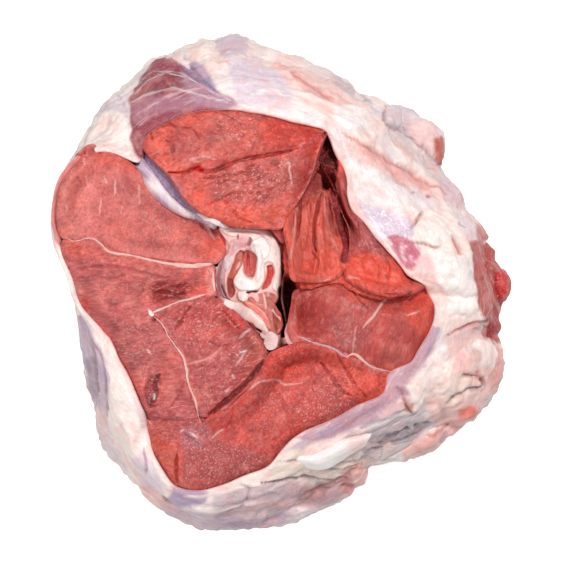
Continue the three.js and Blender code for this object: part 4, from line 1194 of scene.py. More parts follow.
def make_core():
    """The knot of fat and tendon in the middle of the cut face."""
    piece = soft_copy("fat_core", "fat_core_tissue", CORE_GRAIN, 4)
    surface = Surface(piece.data)
    surface.points = fitted(surface.points)
    face = cut_face_share(surface)
    draw_aside(surface, CORE_PULLS, step(surface.points[:, 2], 30, 44))
    points = surface.points.copy()
    surface.points += surface.normals * (0.3 * (1 - face) * step(points[:, 2], 0, 4))[:, None]
    surface.lift = face * 0.25 * rough_noise(points, 4.0, 3, 61)
    surface.colour[:] = linear("pink")
    surface.cover("rose", 0.7 * step(rough_noise(points, 4.0, 2, 62), 0.0, 0.7))
    surface.look(2.0, 0.35, 63)
    draw_areas(surface, CORE_AREAS, face)
    draw_strokes(surface, CORE_STROKES, face)
    draw_sinks(surface, face)
    surface.points[:, 2] += surface.lift
    # Painted shade: the sides below the cut face are painted deep red and given painted shade the deeper they
    # lie.
    sunk = step(FACE_HEIGHT - surface.points[:, 2], 5, 20)
    surface.cover("deep_red", 0.8 * (1 - face) * sunk)
    surface.shade = np.maximum(surface.shade, 0.5 * (1 - face) * sunk)
    finish(piece, surface, CORE_TISSUE, "tendon_and_fat", "fat_core", flow=points[:, [2, 1, 0]])
    return piece


SEPTUM_HEIGHT = 49.9  # how high the septum's solid stands
SEPTUM_GRAIN = 0.5


def make_septum(fit):
    """The white wall between the top and left muscles, flush with the left one."""
    piece = soft_copy("septum", "septum_wall", SEPTUM_GRAIN, 3)
    surface = Surface(piece.data)
    points = surface.points
    points += surface.normals * (0.5 * step(points[:, 2], 0, 4) + 0.9 * step(points[:, 2], 38, 46))[:, None]
    high = step(points[:, 2], 30, 47)
    points[:, 2] += high * np.clip(powers(points) @ fit - SEPTUM_HEIGHT, -1, 4)
    surface.points = fitted(points)
    surface.points[:, 2] += 0.2 * rough_noise(surface.points, 4.0, 2, 71) * high
    depth = FACE_HEIGHT - surface.points[:, 2]
    surface.colour[:] = linear("pearl")
    surface.cover("white", 0.6 * step(noise(surface.points, 6.0, 72), -0.3, 0.5))
    surface.cover("violet", 0.8 * step(noise(surface.points, 9.0, 73), -0.4, 0.4))
    # Further below the cut face the septum is painted iris, and deeper still it gets painted shade.
    surface.cover("iris", 0.7 * step(depth, 3, 8))
    surface.shade = 0.95 * step(depth, 6, 14)
    finish(piece, surface, SEPTUM_SKIN, "tendon_and_fat", "septum", flow=surface.points[:, [2, 1, 0]])
    return piece


# ----------
# Strands: flattened tubes that lie on the cut face
# ----------
STRAND_STEP = 0.4  # millimetres between the rings of a strand
STRAND_SIDES = 14
STRAND_SEED = 81
BED_EVENED = 6  # rings to each side that the bed of a strand is evened out over
OVER_ALL = 90.0  # a height over everything
ON_TOP = ((-0.7, 0.0, 0.7), np.max)  # where a strand feels for what it lies on, and what it makes of it
IN_GAP = ((-2.0, -1.2, 1.2, 2.0), np.median)

FASCIA = [
    # line, widths along it, thickness against width, colours, height over the flesh
    ([(62, 237), (75, 241), (90, 238), (100, 243), (108, 251), (118, 254), (130, 255), (150, 260),
      (170, 264), (190, 266), (203, 265), (213, 264)],
     [0.8, 1.2, 1.3, 1.6, 2.6, 1.8, 2, 2, 2.6, 4.6, 6, 5], 0.3, "rose", "pink", 0.08),
    ([(206, 294), (190, 299), (178, 302), (166, 307), (152, 313)], [1.4, 2.6, 1.4, 1.8, 3.6],
     0.3, "rose", "pink", 0.1),
    ([(190, 299), (190, 305)], [2.2, 1], 0.3, "pink", "rose", 0),
    ([(148, 309), (152, 314), (156, 318)], [2, 5, 2], 0.3, "pink", "cream", 0),
    ([(154, 316), (163, 325), (170, 338), (179, 350), (184, 358), (187, 370), (188, 380), (192, 392),
      (196, 402), (198, 414), (201, 422)], [1.8, 1.1, 1, 1.2, 2.2, 2.6, 2.2, 1.6, 2, 1.4, 0.6],
     0.3, "rose", "pink", 0.1),
    ([(188, 364), (200, 361), (212, 356), (222, 347)], [1, 1.2, 1, 0.6], 0.3, "salmon", "rose", 0.05),
    ([(298, 336), (310, 341), (320, 344), (330, 347), (340, 353), (348, 358)],
     [0.8, 1.4, 1.2, 1.8, 1.6, 1.4], 0.3, "violet", "grey", 0),
    ([(346, 357), (352, 354), (358, 356), (364, 361), (372, 367), (386, 371), (397, 373)],
     [1.4, 2.6, 2.6, 1.6, 1.2, 1, 0.8], 0.3, "rose", "pink", 0.1),
    ([(296, 287), (308, 285), (318, 283), (331, 279), (342, 280), (349, 277), (360, 279)],
     [0.8, 1.2, 0.9, 1.2, 1.6, 1.2, 0.6], 0.3, "salmon", "rose", 0),
    ([(137, 414), (145, 419), (152, 424)], [4, 2.8, 1.2], 0.3, "rose", "pink", 0),
    ([(252, 482), (248, 472), (243, 463)], [4, 2.6, 1], 0.3, "pink", "cream", 0),
    ([(216, 296), (214, 284), (213, 270)], [1.4, 2.6, 2], 0.3, "rose", "pearl", 0),
]


def height_at(tree, x, y):
    """How high the surface of a tree is at a place in plan."""
    hit = tree.ray_cast(Vector((x, y, OVER_ALL)), Vector((0, 0, -1)))[0]
    return hit.z if hit else 0.0


def add_strand(body, tree, lie, line, widths, thickness, colours, rise, seed):
    """Adds one closed flattened tube with pointed ends to a mesh that is being built."""
    path = even_line(place(smooth_line(line), FACE_HEIGHT - 1), STRAND_STEP)
    shares = np.linspace(0, 1, len(path))
    halves = np.interp(shares, np.linspace(0, 1, len(widths)), widths) * PIXEL / 2
    along = np.column_stack([path, shares])
    halves *= 1 + 0.25 * noise(along, 1.8, seed)
    heading = np.gradient(path, axis=0)
    heading /= np.linalg.norm(heading, axis=1, keepdims=True)
    left = np.column_stack([-heading[:, 1], heading[:, 0]])
    path = path + left * (0.12 * noise(along, 2.0, seed + 1))[:, None]
    places, pick = lie
    beds = [[height_at(tree, *(p + s * h * n)) for s in places] for p, n, h in zip(path, left, halves)]
    tops = np.pad(pick(np.array(beds), axis=1), BED_EVENED, mode="edge")
    evened = 2 * BED_EVENED + 1
    tops = np.convolve(tops, np.ones(evened) / evened, mode="valid")
    blunt = 2 * min(len(widths) - 2, 3)
    ends = np.sqrt(np.clip(1 - np.abs(2 * shares - 1) ** blunt, 0, 1))
    layer = body.verts.layers.float_color["tint"]
    flow = body.verts.layers.float_vector["flow"]
    rows = len(path) - 1
    made = bmesh.ops.create_grid(body, x_segments=rows, y_segments=STRAND_SIDES, size=1)["verts"]
    base, other = (np.array(linear(colour)) for colour in colours)
    for vertex in made:
        k = round((vertex.co.x + 1) / 2 * rows)
        turn = math.pi * (vertex.co.y + 1)
        across = math.cos(turn) * halves[k] * ends[k]
        up = math.sin(turn) * (halves[k] * thickness + 0.12) * ends[k]
        spot = path[k] + left[k] * across
        vertex.co = Vector((spot[0], spot[1], tops[k] + rise + 0.55 * up)) * MM
        mix = 0.5 + 0.5 * float(noise(np.array([[*spot, 0.0]]), 2.2, seed + 2)[0])
        vertex[layer] = (*(base + mix * (other - base)), 1.0)
        vertex[flow] = Vector((across, shares[k] * 0.1, tops[k]))
    bmesh.ops.remove_doubles(body, verts=made, dist=2 * SAME_PLACE)


def make_strands(name, strands, tree, lie, slot, material):
    """One piece of all the strands of a table, which lie on the surfaces of a tree."""
    body = bmesh.new()
    body.verts.layers.float_color.new("tint")
    body.verts.layers.float_vector.new("flow")
    for number, (line, widths, thickness, base, other, rise) in enumerate(strands):
        add_strand(body, tree, lie, line, widths, thickness, (base, other), rise, STRAND_SEED + number)
    bmesh.ops.recalc_face_normals(body, faces=body.faces)
    mesh = mesh_from(body, name)
    surface = Surface(mesh)
    surface.keep("wet", surface.wet)
    surface.keep("shade", surface.shade)
    dress(object_from(mesh, name), material, slot)


# ----------
# The skin: silverskin and fat all round, with the pads and flaps that are grown onto it
# ----------
SKIN_NODES = ["jacket", "fat_pad_right", "fat_pad_lower_right", "flap_upper_right", "membrane_strip_lower",
              "membrane_lobe_bottom"]
SKIN_COLUMNS = 800
LIP_ROWS = 9
OUTSIDE_ROWS = 86
INSIDE_ROWS = 12
LIP_OVERLAP = 0.7  # millimetres of flesh that the skin's edge covers
LIP_SHAPE = [(0, -1.2), (0.12, -0.5), (0.5, -0.08), (1.1, 0.0), (2.0, -0.15)]  # across and up, in mm
HEART_INSET = 5.0  # how far inside the rim the point is that the outside is seen from
HEART_HEIGHT = 18.0
FAR_OUT = 120.0  # farther from that point than any skin

SKIN_AREAS = [
    # outline, colour, strength, softness of the border, lift in mm, wetness, which also sets painted glints
    ([(60, 188), (74, 152), (95, 118), (106, 100), (120, 92), (130, 92), (124, 118), (100, 128),
      (84, 150), (68, 182)], "pearl", 0.75, 6, 0, 0.1),
    ([(76, 146), (92, 122), (104, 104), (112, 108), (98, 130), (84, 150)], "grey", 0.4, 5, 0, 0),
    ([(96, 116), (112, 110), (128, 116), (133, 132), (134, 154), (146, 167), (130, 163), (116, 153),
      (98, 150), (82, 156), (82, 140)], "cream", 0.95, 5, 0.6, 0),
    ([(131, 132), (129, 116), (133, 92), (146, 70), (166, 59), (181, 63), (200, 76), (214, 88),
      (236, 104), (210, 112), (187, 118), (172, 126), (162, 134), (152, 144), (148, 158), (138, 158),
      (130, 144)], "purple", 1, 4, 0.5, 0.1),
    ([(130, 110), (150, 112), (165, 116), (150, 132), (144, 150), (134, 148)], "plum", 0.35, 6, 0, 0.1),
    ([(134, 90), (150, 74), (172, 74), (182, 84), (164, 98), (138, 104)], "plum", 0.6, 6, 0.4, 0),
    ([(130, 104), (160, 96), (200, 98), (196, 108), (160, 114), (136, 126)], "heather", 0.5, 5, 0, 0.1),
    ([(180, 70), (214, 88), (240, 106), (214, 110), (190, 98)], "heather", 0.8, 6, 0, 0.1),
    ([(176, 56), (188, 56), (204, 66), (216, 84), (212, 92), (198, 82), (184, 70)],
     "iris", 0.75, 4, -0.6, 0),
    ([(155, 60), (180, 46), (203, 37), (214, 44), (210, 56), (190, 58), (170, 64)],
     "sand", 0.5, 5, 0.3, 0),
    ([(214, 44), (231, 33), (248, 40), (244, 56), (222, 58)], "violet", 0.6, 5, 0.4, 0.1),
    ([(196, 50), (214, 50), (228, 66), (234, 88), (228, 98), (216, 88), (208, 70)],
     "cream", 0.6, 5, 0.3, 0.1),
    ([(228, 60), (262, 60), (288, 84), (292, 112), (262, 108), (236, 102), (232, 84)],
     "lavender", 0.6, 9, 0, 0.2),
    ([(240, 104), (285, 109), (322, 120), (344, 136), (340, 144), (326, 130), (290, 120), (250, 110)],
     "white", 0.6, 4, 0.2, 0.1),
    ([(262, 46), (290, 56), (322, 74), (348, 92), (372, 112), (362, 122), (335, 104), (300, 86),
      (278, 76)], "pink", 0.75, 6, 0, 0),
    ([(288, 70), (305, 78), (332, 96), (330, 102), (302, 88)], "rose", 0.6, 4, -0.3, 0),
    ([(268, 46), (282, 52), (292, 64), (284, 68), (272, 56)], "rose", 0.5, 3, -0.3, 0),
    ([(326, 72), (346, 82), (366, 94), (372, 104), (350, 96), (330, 82)], "grey", 0.7, 4, 0, 0),
    ([(334, 106), (360, 106), (374, 124), (352, 130), (336, 122)], "white", 0.9, 5, 0.5, 0.2),
    ([(336, 128), (362, 142), (392, 156), (432, 183), (452, 196), (440, 202), (412, 188), (384, 174),
      (356, 158), (342, 146)], "pink", 0.8, 5, -0.2, 0),
    ([(344, 134), (372, 148), (400, 164), (430, 184), (424, 190), (392, 170), (362, 152)],
     "rose", 0.6, 4, -0.4, 0),
    ([(352, 160), (376, 172), (404, 190), (412, 204), (384, 206), (362, 200), (354, 184)],
     "white", 0.6, 7, 0.2, 0.15),
    ([(386, 108), (408, 107), (420, 118), (440, 131), (443, 150), (434, 166), (412, 141), (392, 128)],
     "pearl", 0.85, 3, 0.8, 0.1),
    ([(408, 124), (430, 122), (437, 140), (430, 158), (414, 144)], "pink", 0.7, 3, 0.4, 0),
    ([(433, 138), (442, 137), (447, 150), (441, 164), (434, 160)], "rust", 0.95, 2, 0.3, 0.1),
    ([(384, 126), (410, 142), (440, 168), (458, 192), (446, 194), (420, 168), (392, 142)],
     "grey", 0.35, 5, -0.3, 0),
    ([(440, 176), (462, 192), (470, 210), (460, 214), (444, 196)], "lavender", 0.5, 5, 0, 0),
    ([(455, 190), (468, 202), (476, 222), (470, 226), (460, 208)], "pink", 0.6, 4, 0, 0),
    ([(358, 203), (374, 206), (390, 212), (412, 222), (412, 238), (394, 238), (380, 238), (368, 220)],
     "lavender", 0.95, 3, -0.2, 1),
    ([(386, 236), (400, 236), (416, 244), (421, 256), (416, 270), (406, 270), (396, 256)],
     "mauve", 1, 3, 0.5, 0.2),
    ([(414, 226), (426, 212), (450, 208), (474, 220), (484, 240), (482, 262), (488, 300), (494, 335),
      (470, 325), (446, 336), (439, 320), (436, 290), (416, 280), (421, 256), (413, 240)],
     "cream", 0.9, 5, 0.7, 0.05),
    ([(430, 250), (462, 262), (470, 300), (450, 326), (440, 300), (434, 280)], "white", 0.6, 9, 0.2, 0),
    ([(412, 272), (420, 256), (432, 262), (436, 286), (424, 284)], "pink", 0.8, 4, -0.2, 0.1),
    ([(472, 224), (482, 228), (486, 238), (478, 242)], "rust", 0.85, 2.5, 0.2, 0),
    ([(450, 214), (466, 216), (478, 236), (470, 246), (456, 230)], "lavender", 0.45, 5, 0, 0),
    ([(468, 240), (484, 242), (498, 266), (503, 300), (503, 340), (490, 336), (477, 300)],
     "trim", 1, 3, -0.3, 0.1),
    ([(482, 325), (492, 326), (492, 337), (484, 336)], "deep_red", 0.8, 2.5, -0.6, 0),
    ([(444, 330), (470, 322), (486, 320), (488, 334), (466, 340), (450, 348)], "mauve", 0.3, 5, 0, 0.1),
    ([(446, 348), (468, 334), (494, 340), (502, 362), (498, 385), (480, 410), (456, 424), (436, 424),
      (426, 404), (436, 375)], "pink", 0.85, 6, 0, 0.1),
    ([(468, 336), (492, 344), (496, 366), (476, 366), (466, 350)], "cream", 0.7, 5, 0.8, 0.1),
    ([(456, 350), (470, 356), (466, 372), (452, 368)], "rose", 0.4, 5, 0, 0),
    ([(470, 350), (480, 352), (480, 362), (470, 362)], "rust", 0.35, 3, 0, 0.1),
    ([(494, 346), (504, 352), (504, 382), (492, 396), (490, 378)], "rose", 0.7, 3, 0, 0.1),
    ([(440, 378), (466, 372), (478, 380), (468, 398), (444, 402), (430, 396)], "sand", 0.6, 6, -0.3, 0.1),
    ([(433, 326), (440, 330), (431, 356), (415, 380), (396, 389), (386, 388), (384, 378), (404, 362),
      (418, 346)], "heather", 0.75, 3, -0.4, 0.1),
    ([(424, 362), (446, 346), (452, 372), (432, 388), (412, 394), (404, 388)], "cream", 0.7, 5, 0.6, 0),
    ([(400, 386), (418, 384), (424, 400), (412, 411), (403, 402)], "cream", 0.9, 3, 1, 0.1),
    ([(403, 402), (412, 402), (410, 412), (403, 410)], "rust", 0.6, 2, -0.3, 0),
    ([(296, 438), (328, 418), (356, 402), (380, 390), (404, 386), (410, 400), (385, 415), (352, 431),
      (318, 442)], "heather", 0.85, 4, -0.2, 0.2),
    ([(376, 414), (404, 396), (410, 402), (384, 418)], "pink", 0.55, 2.5, 0.3, 0.1),
    ([(290, 448), (310, 435), (336, 424), (340, 430), (318, 440), (298, 454)], "violet", 0.6, 3, 0, 0.1),
    ([(361, 456), (362, 436), (384, 422), (410, 412), (428, 418), (426, 434), (398, 450), (366, 462)],
     "grey", 0.7, 4, -0.2, 0.1),
    ([(376, 440), (398, 430), (424, 424), (420, 434), (396, 444), (378, 450)],
     "slate", 0.45, 4, -0.3, 0.1),
    ([(401, 447), (430, 432), (452, 420), (474, 404), (482, 412), (468, 430), (440, 448), (405, 459)],
     "rose", 0.65, 4, 0.3, 0.15),
    ([(458, 408), (470, 404), (476, 414), (462, 422)], "orange", 0.8, 3, 0.2, 0.1),
    ([(262, 480), (278, 460), (296, 448), (312, 458), (360, 458), (362, 466), (336, 478), (290, 478)],
     "sand", 0.8, 4, 0.2, 0.1),
    ([(343, 464), (366, 464), (366, 484), (350, 495), (338, 484)], "rose", 0.7, 4, 0.3, 0.1),
    ([(298, 486), (322, 482), (348, 476), (352, 490), (326, 506), (296, 506)],
     "purple", 0.6, 5, -0.3, 0.15),
    ([(310, 490), (330, 486), (326, 498), (308, 500)], "plum", 0.35, 4, 0, 0),
    ([(244, 484), (262, 483), (300, 483), (300, 506), (285, 522), (245, 528), (215, 520), (222, 500)],
     "heather", 0.55, 6, 0.2, 0.35),
    ([(214, 496), (240, 490), (246, 500), (228, 510), (212, 508)], "grey", 0.7, 4, 0.3, 0.2),
    ([(160, 484), (180, 488), (206, 490), (204, 504), (178, 507), (164, 498)],
     "iris", 0.75, 4, -0.2, 0.1),
    ([(160, 500), (200, 512), (250, 518), (285, 514), (280, 524), (245, 530), (200, 528), (165, 514)],
     "violet", 0.6, 5, 0, 0.15),
    ([(250, 470), (275, 462), (262, 484), (246, 488), (226, 492), (200, 498), (184, 496), (224, 490)],
     "cream", 0.9, 3, 0.3, 0),
    ([(78, 312), (90, 326), (106, 358), (112, 388), (108, 412), (94, 402), (86, 375), (78, 340)],
     "violet", 0.7, 4, -0.2, 0.1),
    ([(84, 360), (94, 358), (98, 392), (90, 398)], "slate", 0.5, 4, -0.4, 0),
    ([(92, 400), (106, 412), (112, 436), (130, 466), (118, 464), (98, 436)], "pearl", 0.6, 4, 0, 0.1),
    ([(86, 318), (102, 336), (126, 380), (141, 424), (158, 466), (172, 490), (162, 496), (136, 468),
      (114, 436), (108, 410), (110, 378), (98, 345)], "cream", 0.95, 4, 0.2, 0),
    ([(134, 456), (146, 454), (160, 480), (164, 494), (150, 490), (138, 472)],
     "lavender", 0.6, 4, 0, 0.1),
    ([(142, 482), (152, 486), (166, 500), (180, 508), (178, 514), (162, 508), (146, 494)],
     "rose", 0.5, 3, 0.3, 0.1),
    ([(58, 240), (66, 252), (74, 280), (84, 310), (78, 312), (66, 276), (57, 250)],
     "cream", 0.9, 3, 0, 0),
]

# Flesh that shows through the skin's upper edge, in rows like those of the skin.
RIM_AREAS = [
    ([(50, 214), (54, 192), (62, 174), (72, 160), (79, 155), (83, 164), (74, 172), (64, 188), (61, 206),
      (60, 226), (64, 246), (56, 244), (52, 230)], "flesh_left", 0.9, 2, 0, 0.1),
]
# The red notch between the muscles at the upper left.
NOTCH_AREAS = [
    ([(84, 142), (92, 140), (92, 150), (84, 155)], "red", 0.6, 2, -0.3, 0),
]

SKIN_STROKES = [
    # line, width, colour, strength, lift in mm
    ([(134, 88), (150, 76), (168, 72), (190, 78), (212, 92), (238, 104)], 1.3, "pearl", 0.55, 0.3),
    ([(134, 104), (154, 95), (178, 91), (205, 97), (232, 104)], 1.3, "white", 0.45, 0.4),
    ([(174, 56), (190, 66), (204, 78), (214, 90)], 2.2, "slate", 0.45, -1),
    ([(183, 70), (196, 80), (210, 92)], 1.2, "slate", 0.45, -0.6),
    ([(217, 66), (225, 63), (231, 66)], 1.6, "rose", 0.8, -0.2),
    ([(262, 46), (274, 50), (284, 58), (290, 66)], 1.6, "rose", 0.7, -0.5),
    ([(250, 96), (270, 90), (284, 98)], 3, "white", 0.5, 0.3),
    ([(288, 72), (304, 80), (322, 92), (332, 98)], 1.8, "rust", 0.5, -0.5),
    ([(336, 130), (360, 143), (390, 159), (412, 172), (430, 184), (448, 194)], 1.8, "rust", 0.55, -0.8),
    ([(350, 145), (372, 158), (396, 174), (412, 190)], 2.2, "rose", 0.6, -0.4),
    ([(426, 195), (430, 197)], 2.2, "blood", 0.8, -0.5),
    ([(413, 192), (416, 192)], 1.6, "brown", 0.6, -0.4),
    ([(339, 128), (343, 142), (349, 160), (354, 180), (362, 202), (376, 224), (392, 246)],
     2, "white", 0.7, 0.2),
    ([(385, 108), (384, 118), (392, 128)], 1.6, "brown", 0.6, -1.2),
    ([(386, 122), (398, 132), (412, 140), (428, 154), (440, 168)], 1.8, "slate", 0.55, -1.3),
    ([(450, 182), (462, 198), (472, 216)], 1.6, "rust", 0.5, -0.5),
    ([(401, 244), (403, 254), (406, 262)], 2, "white", 0.6, 0.2),
    # The two brown creases at the cream pad's upper left corner: partly the creases' own dark colour and
    # partly painted shade.
    ([(422, 212), (417, 220), (412, 230)], 2, "brown", 0.75, -1.6),
    ([(412, 242), (424, 244), (434, 248), (441, 247)], 1.8, "brown", 0.75, -1.4),
    ([(450, 237), (454, 247), (459, 256)], 2.6, "rust", 0.85, -1),
    ([(456, 226), (464, 230)], 1.5, "slate", 0.6, -0.6),
    ([(441, 285), (446, 300), (442, 316)], 2, "pink", 0.4, -0.3),
    ([(448, 318), (460, 314), (472, 318)], 2, "pink", 0.4, -0.4),
    ([(449, 335), (465, 327), (484, 319)], 1.7, "red", 0.65, -1),
    ([(488, 320), (490, 334), (494, 344)], 2, "deep_red", 0.5, -1.2),
    ([(462, 374), (472, 376), (480, 379), (484, 386)], 2, "brown", 0.65, -1.4),
    ([(480, 370), (484, 384)], 2, "deep_red", 0.55, -0.9),
    ([(448, 402), (462, 394), (474, 390), (484, 386)], 2.4, "slate", 0.6, -1.8),
    ([(434, 384), (446, 372), (454, 360)], 2.2, "sand", 0.6, -0.6),
    ([(402, 396), (406, 405), (411, 411)], 1.8, "deep_red", 0.5, -1.4),
    ([(395, 386), (404, 396)], 2, "plum", 0.4, -1),
    ([(433, 326), (430, 345), (423, 368)], 2.2, "iris", 0.5, -0.4),
    ([(362, 428), (384, 418), (404, 409)], 1.3, "slate", 0.6, -0.6),
    ([(362, 442), (380, 432), (404, 422), (424, 414)], 1.3, "pearl", 0.6, 0.4),
    ([(380, 443), (392, 437), (410, 430)], 2.4, "slate", 0.75, -1.3),
    ([(364, 452), (380, 447), (400, 441), (420, 432)], 1.6, "slate", 0.6, -0.8),
    ([(362, 458), (380, 455), (398, 449)], 1.3, "pearl", 0.7, 0.4),
    ([(404, 430), (408, 428)], 1.7, "shadow", 0.6, -0.6),
    ([(414, 426), (418, 424)], 1.6, "shadow", 0.6, -0.6),
    ([(424, 424), (430, 422)], 1.6, "shadow", 0.5, -0.6),
    ([(394, 433), (400, 431)], 1.8, "shadow", 0.5, -0.6),
    ([(424, 436), (434, 434), (448, 424)], 1.8, "rust", 0.55, -0.8),
    ([(440, 432), (456, 422), (470, 412)], 1.5, "pink", 0.6, 0.5),
    ([(277, 462), (300, 460), (330, 463), (362, 460)], 1.6, "slate", 0.45, -0.9),
    ([(310, 466), (335, 468), (364, 463)], 1.3, "slate", 0.6, -0.7),
    ([(262, 483), (279, 481), (295, 479), (313, 478), (336, 480)], 1.9, "slate", 0.75, -1.5),
    ([(336, 480), (350, 472), (364, 466)], 1.6, "brown", 0.4, -0.8),
    ([(300, 494), (318, 488), (340, 480), (352, 474)], 1.7, "plum", 0.5, -0.8),
    ([(240, 484), (250, 490), (244, 504), (228, 512)], 1.8, "slate", 0.4, -0.8),
    ([(190, 507), (215, 509), (245, 504), (268, 500)], 2, "cream", 0.65, 0.6),
    ([(250, 492), (268, 488), (284, 494)], 1.6, "pearl", 0.6, 0.5),
    ([(262, 500), (276, 504), (290, 500)], 1.6, "rose", 0.5, 0.3),
    ([(161, 495), (166, 501), (172, 503)], 1.6, "shadow", 0.7, -1),
    ([(143, 448), (145, 460), (147, 473)], 2, "heather", 0.8, -0.4),
    ([(80, 316), (90, 340), (94, 362), (97, 382), (98, 400)], 2.2, "slate", 0.55, -1.2),
    ([(88, 334), (99, 352), (105, 374), (107, 398), (106, 424)], 1.4, "plum", 0.45, -0.7),
    ([(100, 116), (92, 132), (82, 152)], 1.8, "grey", 0.5, -0.7),
    ([(118, 96), (126, 112), (128, 128)], 2, "pearl", 0.5, -0.6),
]

# Strokes of the skin in these colours and thinner than this also get a string.
STRING_COLOURS = ("pearl", "lavender")
STRING_WIDTH = 1.4


def outside_section(tree, outward, rim):
    """Places down the outside of the slice at one angle, as distances from the hub and heights."""
    inner = max(rim - HEART_INSET, 5)
    heart = hub_at(HEART_HEIGHT) + outward * inner
    section = []
    for slope in np.radians(np.linspace(76, -62, 70)):
        way = outward * math.cos(slope) + Vector((0, 0, math.sin(slope)))
        hit = tree.ray_cast(heart + way * FAR_OUT, -way)[0]
        if hit:
            reach = (hit - heart).dot(outward) + inner
            section.append((reach, max(hit.z, 0.0)))
    return section


def skin_rings(flesh_tree):
    """Where the finished flesh ends at each angle, and how high it stands there."""
    angles = angles_round(720)
    hub = hub_at(RIM_HEIGHT - 0.5)
    edges = []
    heights = []
    for angle in angles:
        outward = outward_at(angle)
        drawn = FLESH_RIM.at(angle)
        hit = flesh_tree.ray_cast(hub + outward * (drawn + 6), -outward)[0]
        reach = (hit - hub).length if hit else drawn - 1
        reach = min(max(reach, drawn - 2.4), drawn + 0.5)
        spot = hub + outward * (reach - 1.8)
        edges.append(reach)
        heights.append(min(max(height_at(flesh_tree, spot.x, spot.y), 46.0), 51.5))
    return Ring(angles, np.array(edges), 16), Ring(angles, np.array(heights), 20)


def skin_table(flesh_tree):
    """Places on the skin for every column and row: up the inside, over the lip, down the outside."""
    tree = tree_of([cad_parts[name].data for name in SKIN_NODES])
    edge, height = skin_rings(flesh_tree)
    low_rim = jacket_ring(20.0)
    turns = 2 * math.pi * np.arange(SKIN_COLUMNS + 1) / SKIN_COLUMNS
    sections = []
    for angle in turns[:-1]:
        lip = edge.at(angle) - LIP_OVERLAP
        top = height.at(angle) + 0.15
        outside = outside_section(tree, outward_at(angle), SOLID_RIM.at(angle))
        outside = [(r, min(z, top - 0.2)) for r, z in outside if r > lip + 2.6 or z < 40]
        inner = low_rim.at(angle)
        over = [(lip + across, top + up) for across, up in LIP_SHAPE]
        inside = [(outside[-1][0] - 1.0, 0.0), (inner + 1.5, 0.0), (inner, 1.5), (inner, 30.0),
                  (lip, top - 5.0), over[0]]
        section = np.vstack([
            spaced(np.array(inside), INSIDE_ROWS),
            spaced(np.array(over), LIP_ROWS + 1)[1:],
            spaced(np.array(over[-1:] + outside), OUTSIDE_ROWS + 1)[1:],
        ])
        widest = section[:, 0].max()
        share = np.clip((section[:, 0] - lip - 2) / (widest - lip - 2), 0, 1)
        share[:INSIDE_ROWS + LIP_ROWS] = 0
        wanted = np.clip(SKIN_RIM.at(angle), widest * 0.93, widest * 1.05)
        section[:, 0] += (wanted - widest) * share
        sections.append(section)
    sections = np.array(sections)
    for _ in range(4):
        sections = (np.roll(sections, 1, axis=0) + np.roll(sections, -1, axis=0) + 2 * sections) / 4
    reaches, heights = np.moveaxis(np.concatenate([sections, sections[:1]]), 2, 0)
    across = HUB[0] + reaches * np.cos(turns)[:, None]
    return np.stack([across, HUB[1] + reaches * np.sin(turns)[:, None], heights], axis=2)


MEAN_REACH = 72.0  # of the skin, from the hub


def skin_flow(points):
    """Coordinates that run round the slice and down its side, which the streaks of the skin follow."""
    angle, reach = round_hub(points[:, :2])
    down = 0.75 * (55 - points[:, 2]) + 0.6 * (reach - 50)
    return np.column_stack([MEAN_REACH * np.cos(angle), MEAN_REACH * np.sin(angle), down])


